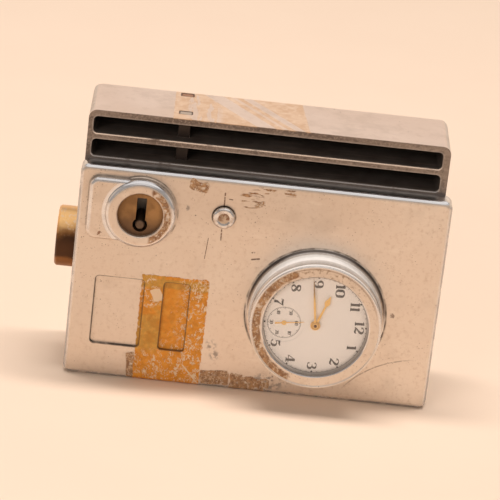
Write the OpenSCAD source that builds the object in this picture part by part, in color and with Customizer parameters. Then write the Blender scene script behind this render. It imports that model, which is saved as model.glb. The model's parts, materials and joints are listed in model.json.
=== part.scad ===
/*
  Time-recording lock for a money bag, with a pocket-watch movement.
  Millimetres. +Z up, +X right, +Y towards the back.
  Origin: middle of the bottom face of the rear frame's footprint.
  The front cover faces -Y. The watch dial lies turned, with 12 to the right.
*/

/* [Case] */
// Width of the front cover
cover_w = 131; // [128:0.5:150]
// Height of the front cover
cover_h = 79.6; // [79.2:0.1:80.2]
// Depth of the front cover's rim, front to back
cover_d = 7.3; // [6.5:0.1:9]
// Thickness of the cover's front wall
cover_face = 2.4; // [2:0.1:2.8]
// Thickness of the cover's side walls
cover_wall = 2.2; // [1.6:0.1:3]
// Corner radius of the cover's outline
cover_corner = 3; // [2:0.1:5]
// Radius of the polished round along the cover's front edge
cover_round = 1.8; // [0.8:0.1:2]
// Depth of the whole case without the bezels
case_d = 38.2; // [38:0.1:44]
// Lip of the frame between the cover's top edge and the lower slot
slot_lip = 1; // [0.6:0.1:1.6]
// How far the cover stands out past the frame on the left
overhang_left = 0.8; // [0.3:0.1:1.5]
// How far the cover stands out past the frame on the right
overhang_right = 2.6; // [1:0.1:4]
// Thickness of the frame's side walls
frame_wall = 2.5; // [2:0.1:3]
// Thickness of the frame's back wall
frame_back = 2.2; // [1.8:0.1:2.6]
// Thickness of the frame's floor
frame_floor = 2.4; // [2:0.1:4]
// Corner radius of the frame's outline
frame_corner = 3; // [2:0.1:4.5]
// Round along the frame's rear edges
frame_round = 2; // [1:0.1:2.5]
// Radius of the frame's upright edge at the rear right
frame_rear_r = 5; // [3:0.1:5.4]

/* [Slots] */
// Length of the two slots for the bag's frame bars
slot_l = 123.2; // [110:0.2:124.2]
// Clear height of each slot
slot_h = 6.3; // [5.8:0.1:6.4]
// Metal behind the slots
slot_back_wall = 2.2; // [1.8:0.1:3]
// Corner radius of the slots
slot_corner = 1.6; // [0.5:0.1:2.5]
// Metal above the upper slot
slot_top_wall = 2.2; // [1.8:0.1:2.4]
// Web between the slots
slot_web = 2.1; // [1.6:0.1:2.3]
// Wall between the frame's left end and the slots
slot_end_wall = 1.8; // [1.4:0.1:3]
// Metal between the slots and the mechanism room
slot_floor_wall = 2.4; // [1.8:0.1:2.6]

/* [Bolts] */
// Distance of the two bolts from the cover's left side
bolt_in = 34.4; // [34:0.1:34.8]
// Width of a bolt
bolt_w = 4; // [3:0.1:4.6]
// Thickness of a bolt, front to back
bolt_t = 2.8; // [2:0.1:3]
// Depth of the front bolt behind the cover's face
front_bolt_depth = 14.3; // [14:0.1:15]
// Distance of the rear bolt's middle from the case's back
rear_bolt_in = 4.2; // [4:0.1:5.2]
// Sliding clearance round a bolt
bolt_gap = 0.2; // [0.1:0.05:0.3]
// Travel of the bolts
bolt_travel = 17; // [16.8:0.1:17.4]
// Depth of the bolt tips below the frame's top
bolt_tip_drop = 0.1; // [0:0.05:0.3]

/* [Knob] */
// Radius of the brass push knob
knob_r = 10.9; // [10:0.1:11]
// How far the knob stands out of the cover's side
knob_out = 6.9; // [6.2:0.1:8]
// Depth of the knob's axis behind the joint of cover and frame
knob_back = 12.1; // [12:0.05:12.4]
// Depth of the knob's axis below the cover's top edge
knob_down = 34.9; // [34.4:0.1:35.6]
// Wall of the knob's guide bush
bush_wall = 0.6; // [0.4:0.05:0.7]
// Running clearance between sliding or turning round parts
run_gap = 0.06; // [0.03:0.01:0.09]
// Clearance left between parts that move past each other
pass_gap = 0.3; // [0.2:0.05:0.35]
// Radius of the knob's rod
rod_r = 3; // [2.8:0.1:3.2]

/* [Lock] */
// Distance of the lock's middle from the cover's left side
lock_in = 22.2; // [21.7:0.1:22.7]
// Depth of the lock's middle below the cover's top edge
lock_down = 15.3; // [14.8:0.1:15.8]
// Outer radius of the lock bezel
lock_bezel_r = 12.6; // [12:0.1:13.2]
// Radius of the lock bezel's opening
lock_open_r = 8.1; // [7.5:0.1:8.6]
// Height of the lock bezel above the cover's face
lock_proud = 4.6; // [4:0.1:6]
// Depth of the brass lock plate below the bezel
lock_plate_drop = 2; // [1.5:0.1:2.6]
// Distance from the lock's middle down to the key pin
key_drop = 4.1; // [3.8:0.1:4.4]
// Radius of the key pin
key_pin_r = 1.6; // [1.3:0.1:1.8]
// Radius of the round part of the keyhole
keyhole_r = 2.6; // [2.4:0.1:2.9]
// Width of the keyhole's slot
keyhole_w = 3.4; // [3:0.1:3.8]
// Height of the keyhole's slot above the key pin
keyhole_h = 10; // [9:0.1:10.4]
// Height of the raised pad beside the lock
pad_proud = 3; // [2:0.1:3.6]
// Left edge of the raised pad, from the cover's left side
pad_inset = 3.6; // [3:0.1:5]
// Height of the raised pad
pad_h = 23; // [20:0.1:24]
// Distance of the raised pad from the cover's top edge
pad_down = 3.4; // [3:0.1:4.6]
// Travel of the lock bolt
lock_throw = 3; // [2.6:0.1:3.2]

/* [Stud] */
// Distance of the stud from the cover's left side
stud_in = 51.5; // [50:0.1:56]
// Depth of the stud below the cover's top edge
stud_down = 14.1; // [12:0.1:16]
// How far the stud stands out of the cover's face
stud_proud = 2.2; // [1.8:0.1:2.6]
// Radius of the stud's head
stud_r = 3.95; // [3.5:0.05:4.5]

/* [Label panels] */
// Distance of the left label panel from the cover's left side
panel_in = 8.7; // [6:0.1:10]
// Gap between the two label panels
panel_gap = 6.8; // [4:0.1:8]
// Width of the left label panel
panel_a_w = 17.6; // [14:0.1:19]
// Width of the right label panel
panel_b_w = 9.4; // [7:0.1:11]
// Height of both label panels
panel_h = 26; // [22:0.1:28]
// Bottom edge of both label panels
panel_z = 12.5; // [10:0.1:14]
// Depth of the label panels
panel_depth = 1.1; // [0.5:0.1:1.3]

/* [Watch bezel] */
// Distance of the watch's middle from the cover's right side
clock_in = 43.4; // [42.5:0.1:44]
// Height of the watch's middle
clock_z = 32.3; // [32:0.1:33]
// Radius of the watch bezel at the cover's face
bezel_r = 24.2; // [24:0.1:25]
// How far the bezel's foot sweeps out past that wall
bezel_foot = 0.7; // [0.4:0.1:1]
// Radius of the watch bezel's flat front
bezel_front_r = 22.4; // [22:0.1:23]
// Height of the watch bezel above the cover's face
bezel_proud = 12.4; // [12.2:0.1:13]
// Radius of the dial opening
dial_open_r = 18.9; // [18.4:0.1:19.3]

/* [Movement] */
// Radius of the movement's main plate
plate_r = 21.6; // [21.4:0.05:21.7]
// Radius of the dial
dial_r = 19.8; // [19.5:0.1:20]
// Turn of the dial: the 12 from the +X direction, degrees
dial_turn = 2; // [-3:0.5:5]
// Distance from the dial's middle to the seconds arbor
seconds_offset = 11.05; // [10.9:0.05:11.2]
// Teeth of the centre wheel
centre_teeth = 64; // [64:8:72]
// Teeth of the third wheel
third_teeth = 60; // [56:4:64]
// Teeth of the fourth wheel
fourth_teeth = 60; // [54:6:66]
// Leaves of the third and fourth pinions
pinion_leaves = 8; // [8:1:9]
// Leaves of the escape pinion
escape_leaves = 6; // [6:1:7]
// Teeth of the escape wheel
escape_teeth = 15; // [15:1:16]
// Radius of the escape wheel
escape_r = 3.9; // [3.7:0.05:4]
// Radius of the balance wheel
balance_r = 5.2; // [4.8:0.05:5.3]
// Length of the minute hand
minute_l = 18; // [16:0.1:18.6]
// Length of the hour hand
hour_l = 12.3; // [11:0.1:13]
// Length of the seconds hand
seconds_l = 7; // [5.5:0.1:7.2]
// Hour shown at rest
hour_now = 9; // [0:1:11]
// Minute shown at rest
minute_now = 44; // [0:1:59]
// Second shown at rest
second_now = 59; // [0:1:59]

/* [Hidden] */
$fn = 64;
// Small overlap that joins or cuts cleanly
e = 0.01;

// Planes of the case, front to back
face_y = -case_d / 2;
part_y = face_y + cover_d;
back_y = case_d / 2;
inner_face_y = face_y + cover_face;
room_back_y = back_y - frame_back;
knob_y = part_y + knob_back;
bezel_y = face_y - bezel_proud;
lock_rim_y = face_y - lock_proud;

// Sides of the frame and the room inside it
frame_x0 = -cover_w / 2 + overhang_left;
frame_x1 = cover_w / 2 - overhang_right;
frame_w = frame_x1 - frame_x0;
frame_mid = (frame_x0 + frame_x1) / 2;
room_x0 = frame_x0 + frame_wall;
room_x1 = frame_x1 - frame_wall;

// Slots, from the cover's top edge up
lower_slot_z = cover_h + slot_lip;
lower_slot_top = lower_slot_z + slot_h;
upper_slot_z = lower_slot_top + slot_web;
upper_slot_top = upper_slot_z + slot_h;
frame_h = upper_slot_top + slot_top_wall;
room_top = lower_slot_z - slot_floor_wall;
slot_x0 = frame_x0 + slot_end_wall;
slot_back_y = back_y - slot_back_wall;

// Case screws
screw_r = 1.25;
screw_head_r = 2.6;
boss_r = 3;
screw_in = 3.9;
screw_xs = [room_x0 + screw_in, room_x1 - screw_in];
screw_zs = [frame_floor + boss_r + 0.8, room_top - boss_r - 2.2];
screw_bite = 3;

// Places on the cover, from its left, right and top edges
bolt_x = cover_w / 2 - bolt_in;
lock_x = cover_w / 2 - lock_in;
lock_z = cover_h - lock_down;
knob_z = cover_h - knob_down;
clock_x = cover_w / 2 - clock_in;

// Bolts and their carriage
front_bolt_y = face_y + front_bolt_depth;
rear_bolt_y = back_y - rear_bolt_in;
bolt_top = frame_h - bolt_tip_drop;
cross_top = lock_z - 4.3;
cross_h = 5;
cross_w = 6;
bar_x0 = -bolt_x - 4.9;
bar_x1 = -bolt_x + 4.1;
bar_y0 = part_y - 0.4;
bar_y1 = knob_y - rod_r - pass_gap - 0.3;
bar_z0 = cross_top - 24;

// Knob, rod and the wheel between rod and carriage
knob_x0 = -cover_w / 2 - knob_out;
knob_in_x = frame_x0 + 4;
flange_t = 1;
flange_r = knob_r + bush_wall;
rack_m = 1;
wheel_teeth = 15;
wheel_pitch_r = rack_m * wheel_teeth / 2;
rod_m = 0.5;
rod_pinion_teeth = 10;
rod_pinion_r = rod_m * rod_pinion_teeth / 2;
rod_rack_drop = rod_r - rod_m;
wheel_x = bar_x0 - 1.5 - wheel_pitch_r;
wheel_z = knob_z - rod_rack_drop - rod_pinion_r;
wheel_y0 = knob_y - rod_r - pass_gap - 3.1;
wheel_t = 2.4;
rod_end_x = wheel_x + 3.5;
knob_travel = bolt_travel * rod_pinion_r / wheel_pitch_r;
post_r = 1.5;

// Stop lever
stop_pivot = [-bolt_x - 0.4, cross_top];
stop_arm = 20;
stop_swing = 2.5;
stop_y0 = inner_face_y + 2.3;
stop_t = 1.2;
stop_pin_r = 0.8;

// Lock
lock_plate_y = lock_rim_y + lock_plate_drop;
key_at = [-lock_x + 0.2, lock_z - key_drop];
case_x0 = -lock_x - 10.3;
case_x1 = bar_x0 - 1.6;
case_z0 = lock_z - 14.7;
case_z1 = lock_z + 10.7;
case_back_y = inner_face_y + 8.5;
case_wall = 1;
lever_pivot = [case_x0 + 3.4, lock_z - 8.8];
stump_at = [lever_pivot[0] + 4.8, lock_z - 9.1];
lock_bolt_y0 = inner_face_y + 4.7;
lock_bolt_t = 1.6;
lock_bolt_z = case_z0 + 1.4;
lock_bolt_h = 6.6;
guide_z = lock_bolt_z + 1.6;
lever_z = lock_bolt_z + 1.6;
lever_h = 4.6;
lever_swing = 5;
ear_z = lock_z + 1.7;
ear_w = 4;

// Watch, front to back
glass_y = bezel_y + 0.6;
glass_t = 0.7;
hands_y = glass_y + glass_t + 0.3;
minute_hand_t = 0.25;
hour_hand_y = hands_y + 0.4;
dial_y = hands_y + 1.2;
dial_t = 0.8;
plate_y = dial_y + 1.9;
plate_t = 2.4;
plate_back = plate_y + plate_t;
bridge_y = plate_back + 3.2;
bridge_t = 1.3;
cup_r = plate_r + 0.2;
sleeve_r = plate_r - 1;

// Gear cutting: modules, and the shares of a tooth's height and width
centre_m = 0.244;
third_m = 0.224;
fourth_m = 0.206;
barrel_m = 0.27;
barrel_teeth = 60;
centre_leaves = 10;
cannon_teeth = 12;
minute_teeth = 36;
minute_leaves = 10;
hour_teeth = 40;
motion_d = 3.9;

// Where the arbors stand, from the watch's middle
centre_at = [clock_x, clock_z];
six_way = dial_turn + 180;
fourth_at = centre_at + polar(seconds_offset, six_way);
third_d = centre_m * (centre_teeth + pinion_leaves) / 2;
fourth_d = third_m * (third_teeth + pinion_leaves) / 2;
third_way = six_way + acos((third_d * third_d + seconds_offset * seconds_offset
  - fourth_d * fourth_d) / (2 * third_d * seconds_offset));
third_at = centre_at + polar(third_d, third_way);
escape_d = fourth_m * (fourth_teeth + escape_leaves) / 2;
escape_way = dial_turn + 108;
escape_at = fourth_at + polar(escape_d, escape_way);
barrel_d = barrel_m * (barrel_teeth + centre_leaves) / 2;
barrel_way = dial_turn + 48;
barrel_at = centre_at + polar(barrel_d, barrel_way);
minute_way = dial_turn + 290;
minute_at = centre_at + polar(motion_d, minute_way);
pallet_d = escape_r / cos(30) + 0.05;
balance_way = dial_turn + 33;
pallet_at = escape_at + polar(pallet_d, balance_way);
balance_at = escape_at + polar(pallet_d + 5.3, balance_way);
brake_at = balance_at + polar(balance_r + 0.45, dial_turn + 103);

// Feet of the bridges on the main plate
foot_r = 1.8;
train_feet = [centre_at + polar(18.4, dial_turn + 208), centre_at + polar(12.4, dial_turn + 278)];
barrel_feet = [centre_at + polar(17.6, dial_turn + 4), centre_at + polar(18.5, dial_turn + 79)];
cock_foot_r = 1.35;
cock_foot = centre_at + polar(18.4, dial_turn + 127);

// Levels of the train, behind the main plate's back
barrel_level = plate_back + 0.2;
centre_level = plate_back + 2.3;
third_level = plate_back + 1.2;
fourth_level = plate_back + 0.3;
escape_level = plate_back + 1.6;
wheel_thick = 0.3;
arbor_r = 0.45;
balance_y = bridge_y + 0.4;
cock_y = balance_y + 1.6;

function polar(r, a) = [r * cos(a), r * sin(a)];

// Outline of a toothed wheel; one tooth's middle lies at the angle given.
// wide is the tooth's share of the pitch at its root, middle and tip.
function wheel_outline(teeth, m, middle, up, down, wide) = [
  for (i = [0:teeth - 1], k = [0:5])
    let (
      r = teeth * m / 2 + [-down, 0, up, up, 0, -down][k] * m,
      share = [-wide[0], -wide[1], -wide[2], wide[2], wide[1], wide[0]][k] / 2
    )
    polar(r, middle + (i + share) * 360 / teeth)
];

// Lighter outline with four points a tooth, for the fine watch wheels
function fine_outline(teeth, m, middle, up, down, wide) = [
  for (i = [0:teeth - 1], k = [0:3])
    let (
      r = teeth * m / 2 + [-down, up, up, -down][k] * m,
      share = [-wide[0], -wide[1], wide[1], wide[0]][k] / 2
    )
    polar(r, middle + (i + share) * 360 / teeth)
];

// A flat piece drawn in X and Z, standing from y0 back to y0 + t
module slab(y0, t) {
  translate([0, y0 + t, 0]) rotate([90, 0, 0]) linear_extrude(t) children();
}

// A turned piece about an axis along Y; its profile is drawn as [radius, y]
module turned(at) {
  translate([at[0], 0, at[1]]) rotate([-90, 0, 0]) rotate_extrude() children();
}

// A round bar along Y
module bar_y(at, r, y0, y1) {
  translate([at[0], y0, at[1]]) rotate([-90, 0, 0]) cylinder(r = r, h = y1 - y0);
}

// A box between two corners
module block(low, high) {
  translate(low) cube(high - low);
}

// A rectangle with round corners, its lower left corner at the given point
module round_rect(low, size, r) {
  translate([low[0] + r, low[1]]) square([size[0] - 2 * r, size[1]]);
  translate([low[0], low[1] + r]) square([size[0], size[1] - 2 * r]);
  for (x = [low[0] + r, low[0] + size[0] - r], z = [low[1] + r, low[1] + size[1] - r])
    translate([x, z]) circle(r);
}

// A slab with round corners and one rounded face, towards -Y or towards +Y
module rounded_slab(low, size, corner, round, y0, y1, face) {
  steps = 6;
  hull() for (i = [0:steps]) {
    a = 90 * i / steps;
    inset = round * (1 - cos(a));
    rise = round * (1 - sin(a));
    y = face < 0 ? y0 + rise : y1 - rise - e;
    slab(y, e) round_rect(low + [inset, inset], size - 2 * [inset, inset], max(corner - inset, 0.4), $fn = 32);
  }
  slab(face < 0 ? y0 + round : y0, y1 - y0 - round) round_rect(low, size, corner);
}

// A screw along Y with a slotted countersunk or cheese head, its head at the given y
module screw_back(at, y_head, r, head_r, head_t, length, cone) {
  difference() {
    turned(at) polygon([
      [0, y_head], [head_r, y_head], [cone ? r : head_r, y_head - head_t],
      [r, y_head - head_t], [r, y_head - length], [0, y_head - length]
    ]);
    block([at[0] - head_r - 1, y_head - head_t * 0.45, at[1] - head_r * 0.12],
      [at[0] + head_r + 1, y_head + 1, at[1] + head_r * 0.12]);
  }
}

// Profile of the watch bezel: a foot that sweeps out to the cover, a wall, a bead and a sunk flat ring
module bezel_profile() {
  foot_r = bezel_r + bezel_foot;
  bead_r = 0.45;
  wall_r = bezel_front_r + 2 * bead_r;
  sweep_h = 4;
  sunk = 0.3;
  polygon(concat(
    [[cup_r, inner_face_y], [foot_r, inner_face_y - 0.5], [foot_r, face_y + 0.4]],
    [for (t = [0:0.1:1]) [wall_r + (foot_r - wall_r) * pow(1 - t, 3) + 0.1 * (1 - t), face_y - sweep_h * t]],
    [for (a = [0:15:150]) [wall_r - bead_r + bead_r * cos(a), bezel_y + bead_r * (1 - sin(a))]],
    [[bezel_front_r - 0.1, bezel_y + sunk], [dial_open_r + 0.3, bezel_y + sunk], [dial_open_r, bezel_y + sunk + 0.2]],
    [[dial_open_r, glass_y], [dial_r + 0.15, glass_y], [dial_r + 0.15, plate_y], [cup_r, plate_y]]
  ));
}

// Profile of the lock bezel, with its bore left to be cut
module lock_bezel_profile() {
  foot = 0.4;
  crest_w = 2.3;
  crest_h = 2.2;
  polygon(concat(
    [[0, inner_face_y - 0.5], [lock_bezel_r + foot, inner_face_y - 0.5], [lock_bezel_r + foot, face_y + 0.3]],
    [for (a = [0:30:90]) [lock_bezel_r + foot - foot * sin(a), face_y - foot + foot * cos(a)]],
    [for (a = [0:15:90]) [lock_bezel_r - crest_w * (1 - cos(a)), lock_rim_y + crest_h * (1 - sin(a))]],
    [[0, lock_rim_y]]
  ));
}

module front_cover() {
  pad_x0 = -cover_w / 2 + pad_inset;
  panel_a_x = -cover_w / 2 + panel_in;
  panel_b_x = panel_a_x + panel_a_w + panel_gap;
  color("#cdb69a") difference() {
    union() {
      rounded_slab([-cover_w / 2, 0], [cover_w, cover_h], cover_corner, cover_round, face_y, part_y, -1);
      turned([-lock_x, lock_z]) lock_bezel_profile();
      turned(centre_at) bezel_profile();
      rounded_slab([pad_x0, cover_h - pad_down - pad_h], [-lock_x - pad_x0 + 2, pad_h], 3.6, 1.4,
        face_y - pad_proud, face_y + 0.6, -1);
    }
    // room inside the rim
    slab(inner_face_y, cover_d) round_rect([-cover_w / 2 + cover_wall, cover_wall],
      [cover_w - 2 * cover_wall, cover_h - 2 * cover_wall], 1.2);
    // the movement's cup and the dial opening
    turned(centre_at) polygon([
      [0, bezel_y - 1], [dial_open_r, bezel_y - 1], [dial_open_r, glass_y], [dial_r + 0.15, glass_y],
      [dial_r + 0.15, plate_y], [cup_r, plate_y], [cup_r, inner_face_y + 1], [0, inner_face_y + 1]
    ]);
    // the lock's opening and the seat of its brass plate
    turned([-lock_x, lock_z]) polygon([
      [0, lock_rim_y - 1], [lock_open_r + 0.3, lock_rim_y - 1], [lock_open_r + 0.3, lock_rim_y],
      [lock_open_r, lock_rim_y + 0.3], [lock_open_r, lock_plate_y], [lock_open_r + 1, lock_plate_y],
      [lock_open_r + 1, inner_face_y + 1], [0, inner_face_y + 1]
    ]);
    // recessed label panels
    slab(face_y - e, panel_depth) round_rect([panel_a_x, panel_z], [panel_a_w, panel_h], 1.5);
    slab(face_y - e, panel_depth) round_rect([panel_b_x, panel_z], [panel_b_w, panel_h], 1.2);
    // seat and hole of the stud
    bar_y(stud_at, stud_r + 0.2, face_y - 1, face_y + 0.5);
    bar_y(stud_at, stud_shank_r, face_y, inner_face_y + 1);
  }
  // bosses for the case screws
  color("#cdb69a") for (x = screw_xs, z = screw_zs) difference() {
    bar_y([x, z], boss_r, inner_face_y - e, part_y);
    bar_y([x, z], screw_r, part_y - screw_bite, part_y + 1);
  }
}

stud_at = [-cover_w / 2 + stud_in, cover_h - stud_down];
stud_shank_r = 1.8;

module cover_stud() {
  top_y = face_y - stud_proud;
  shoulder = 1.1;
  dish = 0.35;
  color("#d8cbb8") turned(stud_at) polygon(concat(
    [[0, top_y + dish], [stud_r - 1.9 * shoulder, top_y + dish]],
    [for (a = [120:-15:0]) [stud_r - shoulder + shoulder * cos(a), top_y + shoulder * (1 - sin(a))]],
    [[stud_r, face_y + 0.5], [stud_shank_r, face_y + 0.5], [stud_shank_r, inner_face_y]],
    [[stud_shank_r + 1.2, inner_face_y], [stud_shank_r + 0.8, inner_face_y + 0.9], [0, inner_face_y + 1]]
  ));
}

module rear_frame() {
  color("#d9c5ac") difference() {
    union() {
      difference() {
        rounded_slab([frame_x0, 0], [frame_w, frame_h], frame_corner, frame_round, part_y, back_y, 1);
        // the wide round of the rear right edge
        difference() {
          block([frame_x1 - frame_rear_r, back_y - frame_rear_r, -1], [frame_x1 + 1, back_y + 1, frame_h + 1]);
          translate([frame_x1 - frame_rear_r, back_y - frame_rear_r, -2])
            cylinder(r = frame_rear_r, h = frame_h + 4);
        }
        // the mechanism's room
        slab(part_y - 1, room_back_y - part_y + 1) round_rect([room_x0, frame_floor],
          [room_x1 - room_x0, room_top - frame_floor], 1.5);
      }
      for (x = screw_xs, z = screw_zs) bar_y([x, z], boss_r, part_y, room_back_y + 0.5);
      // block that guides the knob's rod
      block([wheel_x - 8, knob_y - rod_r - 0.6, knob_z - rod_r - 1.5],
        [wheel_x - 4.5, room_back_y + 0.5, knob_z + rod_r + 1.5]);
      // post inside the carriage's spring
      translate([(bar_x0 + bar_x1) / 2, spring_y, frame_floor - 0.5])
        cylinder(r = spring_r - 1.5, h = bar_z0 - bolt_travel - frame_floor - 2.6);
    }
    for (z = [upper_slot_z, lower_slot_z])
      slab(part_y - 1, slot_back_y - part_y + 1) round_rect([slot_x0, z], [slot_l, slot_h], slot_corner);
    // ways for the two bolts
    for (y = [front_bolt_y, rear_bolt_y])
      block([-bolt_x - bolt_w / 2 - bolt_gap, y - bolt_t / 2 - bolt_gap, room_top - 1],
        [-bolt_x + bolt_w / 2 + bolt_gap, y + bolt_t / 2 + bolt_gap, frame_h + 1]);
    // bore for the knob's bush
    translate([frame_x0 - 1, knob_y, knob_z]) rotate([0, 90, 0])
      cylinder(r = flange_r + 0.02, h = frame_wall + 2);
    translate([wheel_x - 9, knob_y, knob_z]) rotate([0, 90, 0]) cylinder(r = rod_r + run_gap, h = 6);
    // bore for the wheel's post
    bar_y([wheel_x, wheel_z], post_r, room_back_y - 1, room_back_y + 1.2);
    for (x = screw_xs, z = screw_zs) {
      bar_y([x, z], screw_r + 0.15, part_y - 1, back_y + 1);
      turned([x, z]) polygon([[0, back_y + 1], [screw_head_r + 0.1, back_y + 1],
        [screw_head_r + 0.1, back_y - 0.2], [screw_r, back_y - 1.7], [0, back_y - 1.7]]);
    }
  }
}

module case_screws() {
  color("#8f8a84") for (x = screw_xs, z = screw_zs)
    screw_back([x, z], back_y - 0.25, screw_r - 0.02, screw_head_r, 1.4,
      back_y - 0.25 - part_y + screw_bite - 0.3, true);
}

module lock_plate() {
  color("#a5763c") difference() {
    turned([-lock_x, lock_z]) polygon([
      [0, lock_plate_y], [lock_open_r + 0.9, lock_plate_y], [lock_open_r + 0.9, inner_face_y - 0.05],
      [0, inner_face_y - 0.05]
    ]);
    bar_y(key_at, keyhole_r, lock_plate_y - 1, inner_face_y + 1);
    slab(lock_plate_y - 1, 9) translate([key_at[0] - keyhole_w / 2, key_at[1]]) square([keyhole_w, keyhole_h]);
  }
}

module key_pin() {
  color("#8a7a68") turned(key_at) polygon([
    [0, lock_plate_y - 0.2], [key_pin_r - 0.3, lock_plate_y - 0.2], [key_pin_r, lock_plate_y + 0.1],
    [key_pin_r, case_back_y - case_wall], [0, case_back_y - case_wall]
  ]);
}

module lock_case() {
  color("#77726c") difference() {
    union() {
      difference() {
        block([case_x0, inner_face_y, case_z0], [case_x1, case_back_y, case_z1]);
        block([case_x0 + case_wall, inner_face_y - 1, case_z0 + case_wall],
          [case_x1 - case_wall, case_back_y - case_wall, case_z1 - case_wall]);
      }
      for (x = [case_x0 - ear_w, case_x1])
        block([x, inner_face_y, ear_z - 3], [x + ear_w, inner_face_y + 1, ear_z + 3]);
      bar_y(lever_pivot, 1.2, inner_face_y + 0.2, case_back_y - case_wall + 0.5);
      bar_y([stump_at[0] + 2, guide_z], 0.75, lock_bolt_y0 - 0.5, case_back_y - case_wall + 0.5);
    }
    // way out for the lock bolt
    block([case_x1 - 2, lock_bolt_y0 - 0.2, lock_bolt_z - 0.2],
      [case_x1 + 1, lock_bolt_y0 + lock_bolt_t + 0.2, lock_bolt_z + lock_bolt_h + 0.2]);
    for (x = [case_x0 - ear_w / 2, case_x1 + ear_w / 2])
      bar_y([x, ear_z], 0.9, inner_face_y - 1, inner_face_y + 2);
  }
}

module lock_screws() {
  color("#8f8a84") for (x = [case_x0 - ear_w / 2, case_x1 + ear_w / 2])
    screw_back([x, ear_z], inner_face_y + 1.85, 0.85, 1.5, 0.8, 1.8, false);
}

module lock_bolt() {
  nose = case_x1 - 0.2;
  tail = stump_at[0] - 2.1;
  color("#9a948c") difference() {
    union() {
      block([tail, lock_bolt_y0, lock_bolt_z], [nose, lock_bolt_y0 + lock_bolt_t, lock_bolt_z + lock_bolt_h]);
      bar_y(stump_at, 0.9, inner_face_y + 0.5, lock_bolt_y0 + 0.5);
    }
    // slot over the guide pin, and the notch that the key works in
    block([stump_at[0] + 2 - 0.95 - lock_throw, lock_bolt_y0 - 1, guide_z - 0.95],
      [stump_at[0] + 2 + 0.95, lock_bolt_y0 + lock_bolt_t + 1, guide_z + 0.95]);
    block([key_at[0] - 1.2, lock_bolt_y0 - 1, lock_bolt_z + lock_bolt_h - 1.3],
      [key_at[0] + 1.8, lock_bolt_y0 + lock_bolt_t + 1, lock_bolt_z + lock_bolt_h + 1]);
  }
}

module lock_levers() {
  color("#a08a5a") for (i = [0:2]) slab(inner_face_y + 0.5 + 1.1 * i, 0.8) difference() {
    union() {
      translate(lever_pivot) circle(2);
      translate([lever_pivot[0], lever_z]) square([stump_at[0] + 5.6 - lever_pivot[0], lever_h]);
      translate([lever_pivot[0] + 2, lever_z - 0.7]) square([stump_at[0] + 3.6 - lever_pivot[0], 0.8]);
    }
    translate(lever_pivot) circle(1.2 + run_gap);
    translate([stump_at[0] - 1.3, stump_at[1] - 2]) square([lock_throw + 2.6, 3.2]);
  }
}

module lever_springs() {
  spring_z = lever_z + lever_h + 0.4;
  color("#55504a") for (i = [0:2]) slab(inner_face_y + 0.6 + 1.1 * i, 0.6) polygon([
    [case_x0 + case_wall, spring_z + 2.8], [case_x0 + case_wall, spring_z + 2.5], [stump_at[0] - 1.2, spring_z],
    [stump_at[0] + 0.2, spring_z + 0.3], [stump_at[0] - 1.2, spring_z + 0.3]
  ]);
}

// Front outline of the carriage's rack, in X and Z: teeth towards the wheel
module carriage_rack() {
  pitch_x = wheel_x + wheel_pitch_r;
  pitch = PI * rack_m;
  for (i = [-1:5]) {
    z = wheel_z + (i + 0.5) * pitch;
    polygon([
      [bar_x0 + e, z - 0.33 * pitch], [pitch_x + 0.95, z - 0.3 * pitch], [pitch_x - 0.9, z - 0.09 * pitch],
      [pitch_x - 0.9, z + 0.09 * pitch], [pitch_x + 0.95, z + 0.3 * pitch], [bar_x0 + e, z + 0.33 * pitch]
    ]);
  }
}

module bolt_carriage() {
  cam_x = stop_pivot[0];
  cam_z = stop_pivot[1] - stop_arm;
  slant = stop_arm * sin(stop_swing) / bolt_travel;
  color("#b08d57") difference() {
    union() {
      block([bar_x0, bar_y0, bar_z0], [bar_x1, bar_y1, cross_top]);
      block([-bolt_x - cross_w / 2, bar_y0, cross_top - cross_h], [-bolt_x + cross_w / 2, rear_bolt_y + bolt_t / 2, cross_top]);
      slab(wheel_y0, wheel_t) carriage_rack();
    }
    // slanting slot that moves the stop lever
    slab(bar_y0 - 1, 3.5) polygon([for (p = [[-1, -1.3], [1, -1.3], [1, bolt_travel + 1.3], [-1, bolt_travel + 1.3]])
      [cam_x + p[0] * (stop_pin_r + 0.25) + p[1] * slant, cam_z + p[1]]]);
    // notch for the lock bolt
    block([bar_x0 - 1, lock_bolt_y0 - 0.3, lock_bolt_z - 0.3],
      [bar_x0 + 1.7, lock_bolt_y0 + lock_bolt_t + 0.3, lock_bolt_z + lock_bolt_h + 0.3]);
  }
}

module frame_bolt(y) {
  translate([-bolt_x - bolt_w / 2, y - bolt_t / 2, cross_top]) cube([bolt_w, bolt_t, bolt_top - cross_top]);
}

module front_bolt() {
  color("#8b857d") frame_bolt(front_bolt_y);
}

module rear_bolt() {
  color("#7a4a36") frame_bolt(rear_bolt_y);
}

spring_r = 3.2;
spring_y = bar_y1 - spring_r + 0.5;
spring_wire = 0.4;
spring_turns = 11;
spring_rings = 12;

// A round wire wound about Z between two heights
module wound_wire(r, wire, z0, z1, turns) {
  sides = 6;
  rings = turns * spring_rings;
  ring = [for (i = [0:rings], k = [0:sides - 1])
    let (a = 360 * i / spring_rings, b = 360 * k / sides, rr = r + wire * cos(b))
    [rr * cos(a), rr * sin(a), z0 + (z1 - z0) * i / rings + wire * sin(b)]];
  sides_faces = [for (i = [0:rings - 1], k = [0:sides - 1], half = [0, 1])
    let (a = i * sides + k, b = i * sides + (k + 1) % sides)
    half == 0 ? [a, a + sides, b] : [b, a + sides, b + sides]];
  ends = concat(
    [for (k = [1:sides - 2]) [0, k, k + 1]],
    [for (k = [1:sides - 2]) [rings * sides, rings * sides + k + 1, rings * sides + k]]
  );
  polyhedron(points = ring, faces = concat(sides_faces, ends));
}

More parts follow.
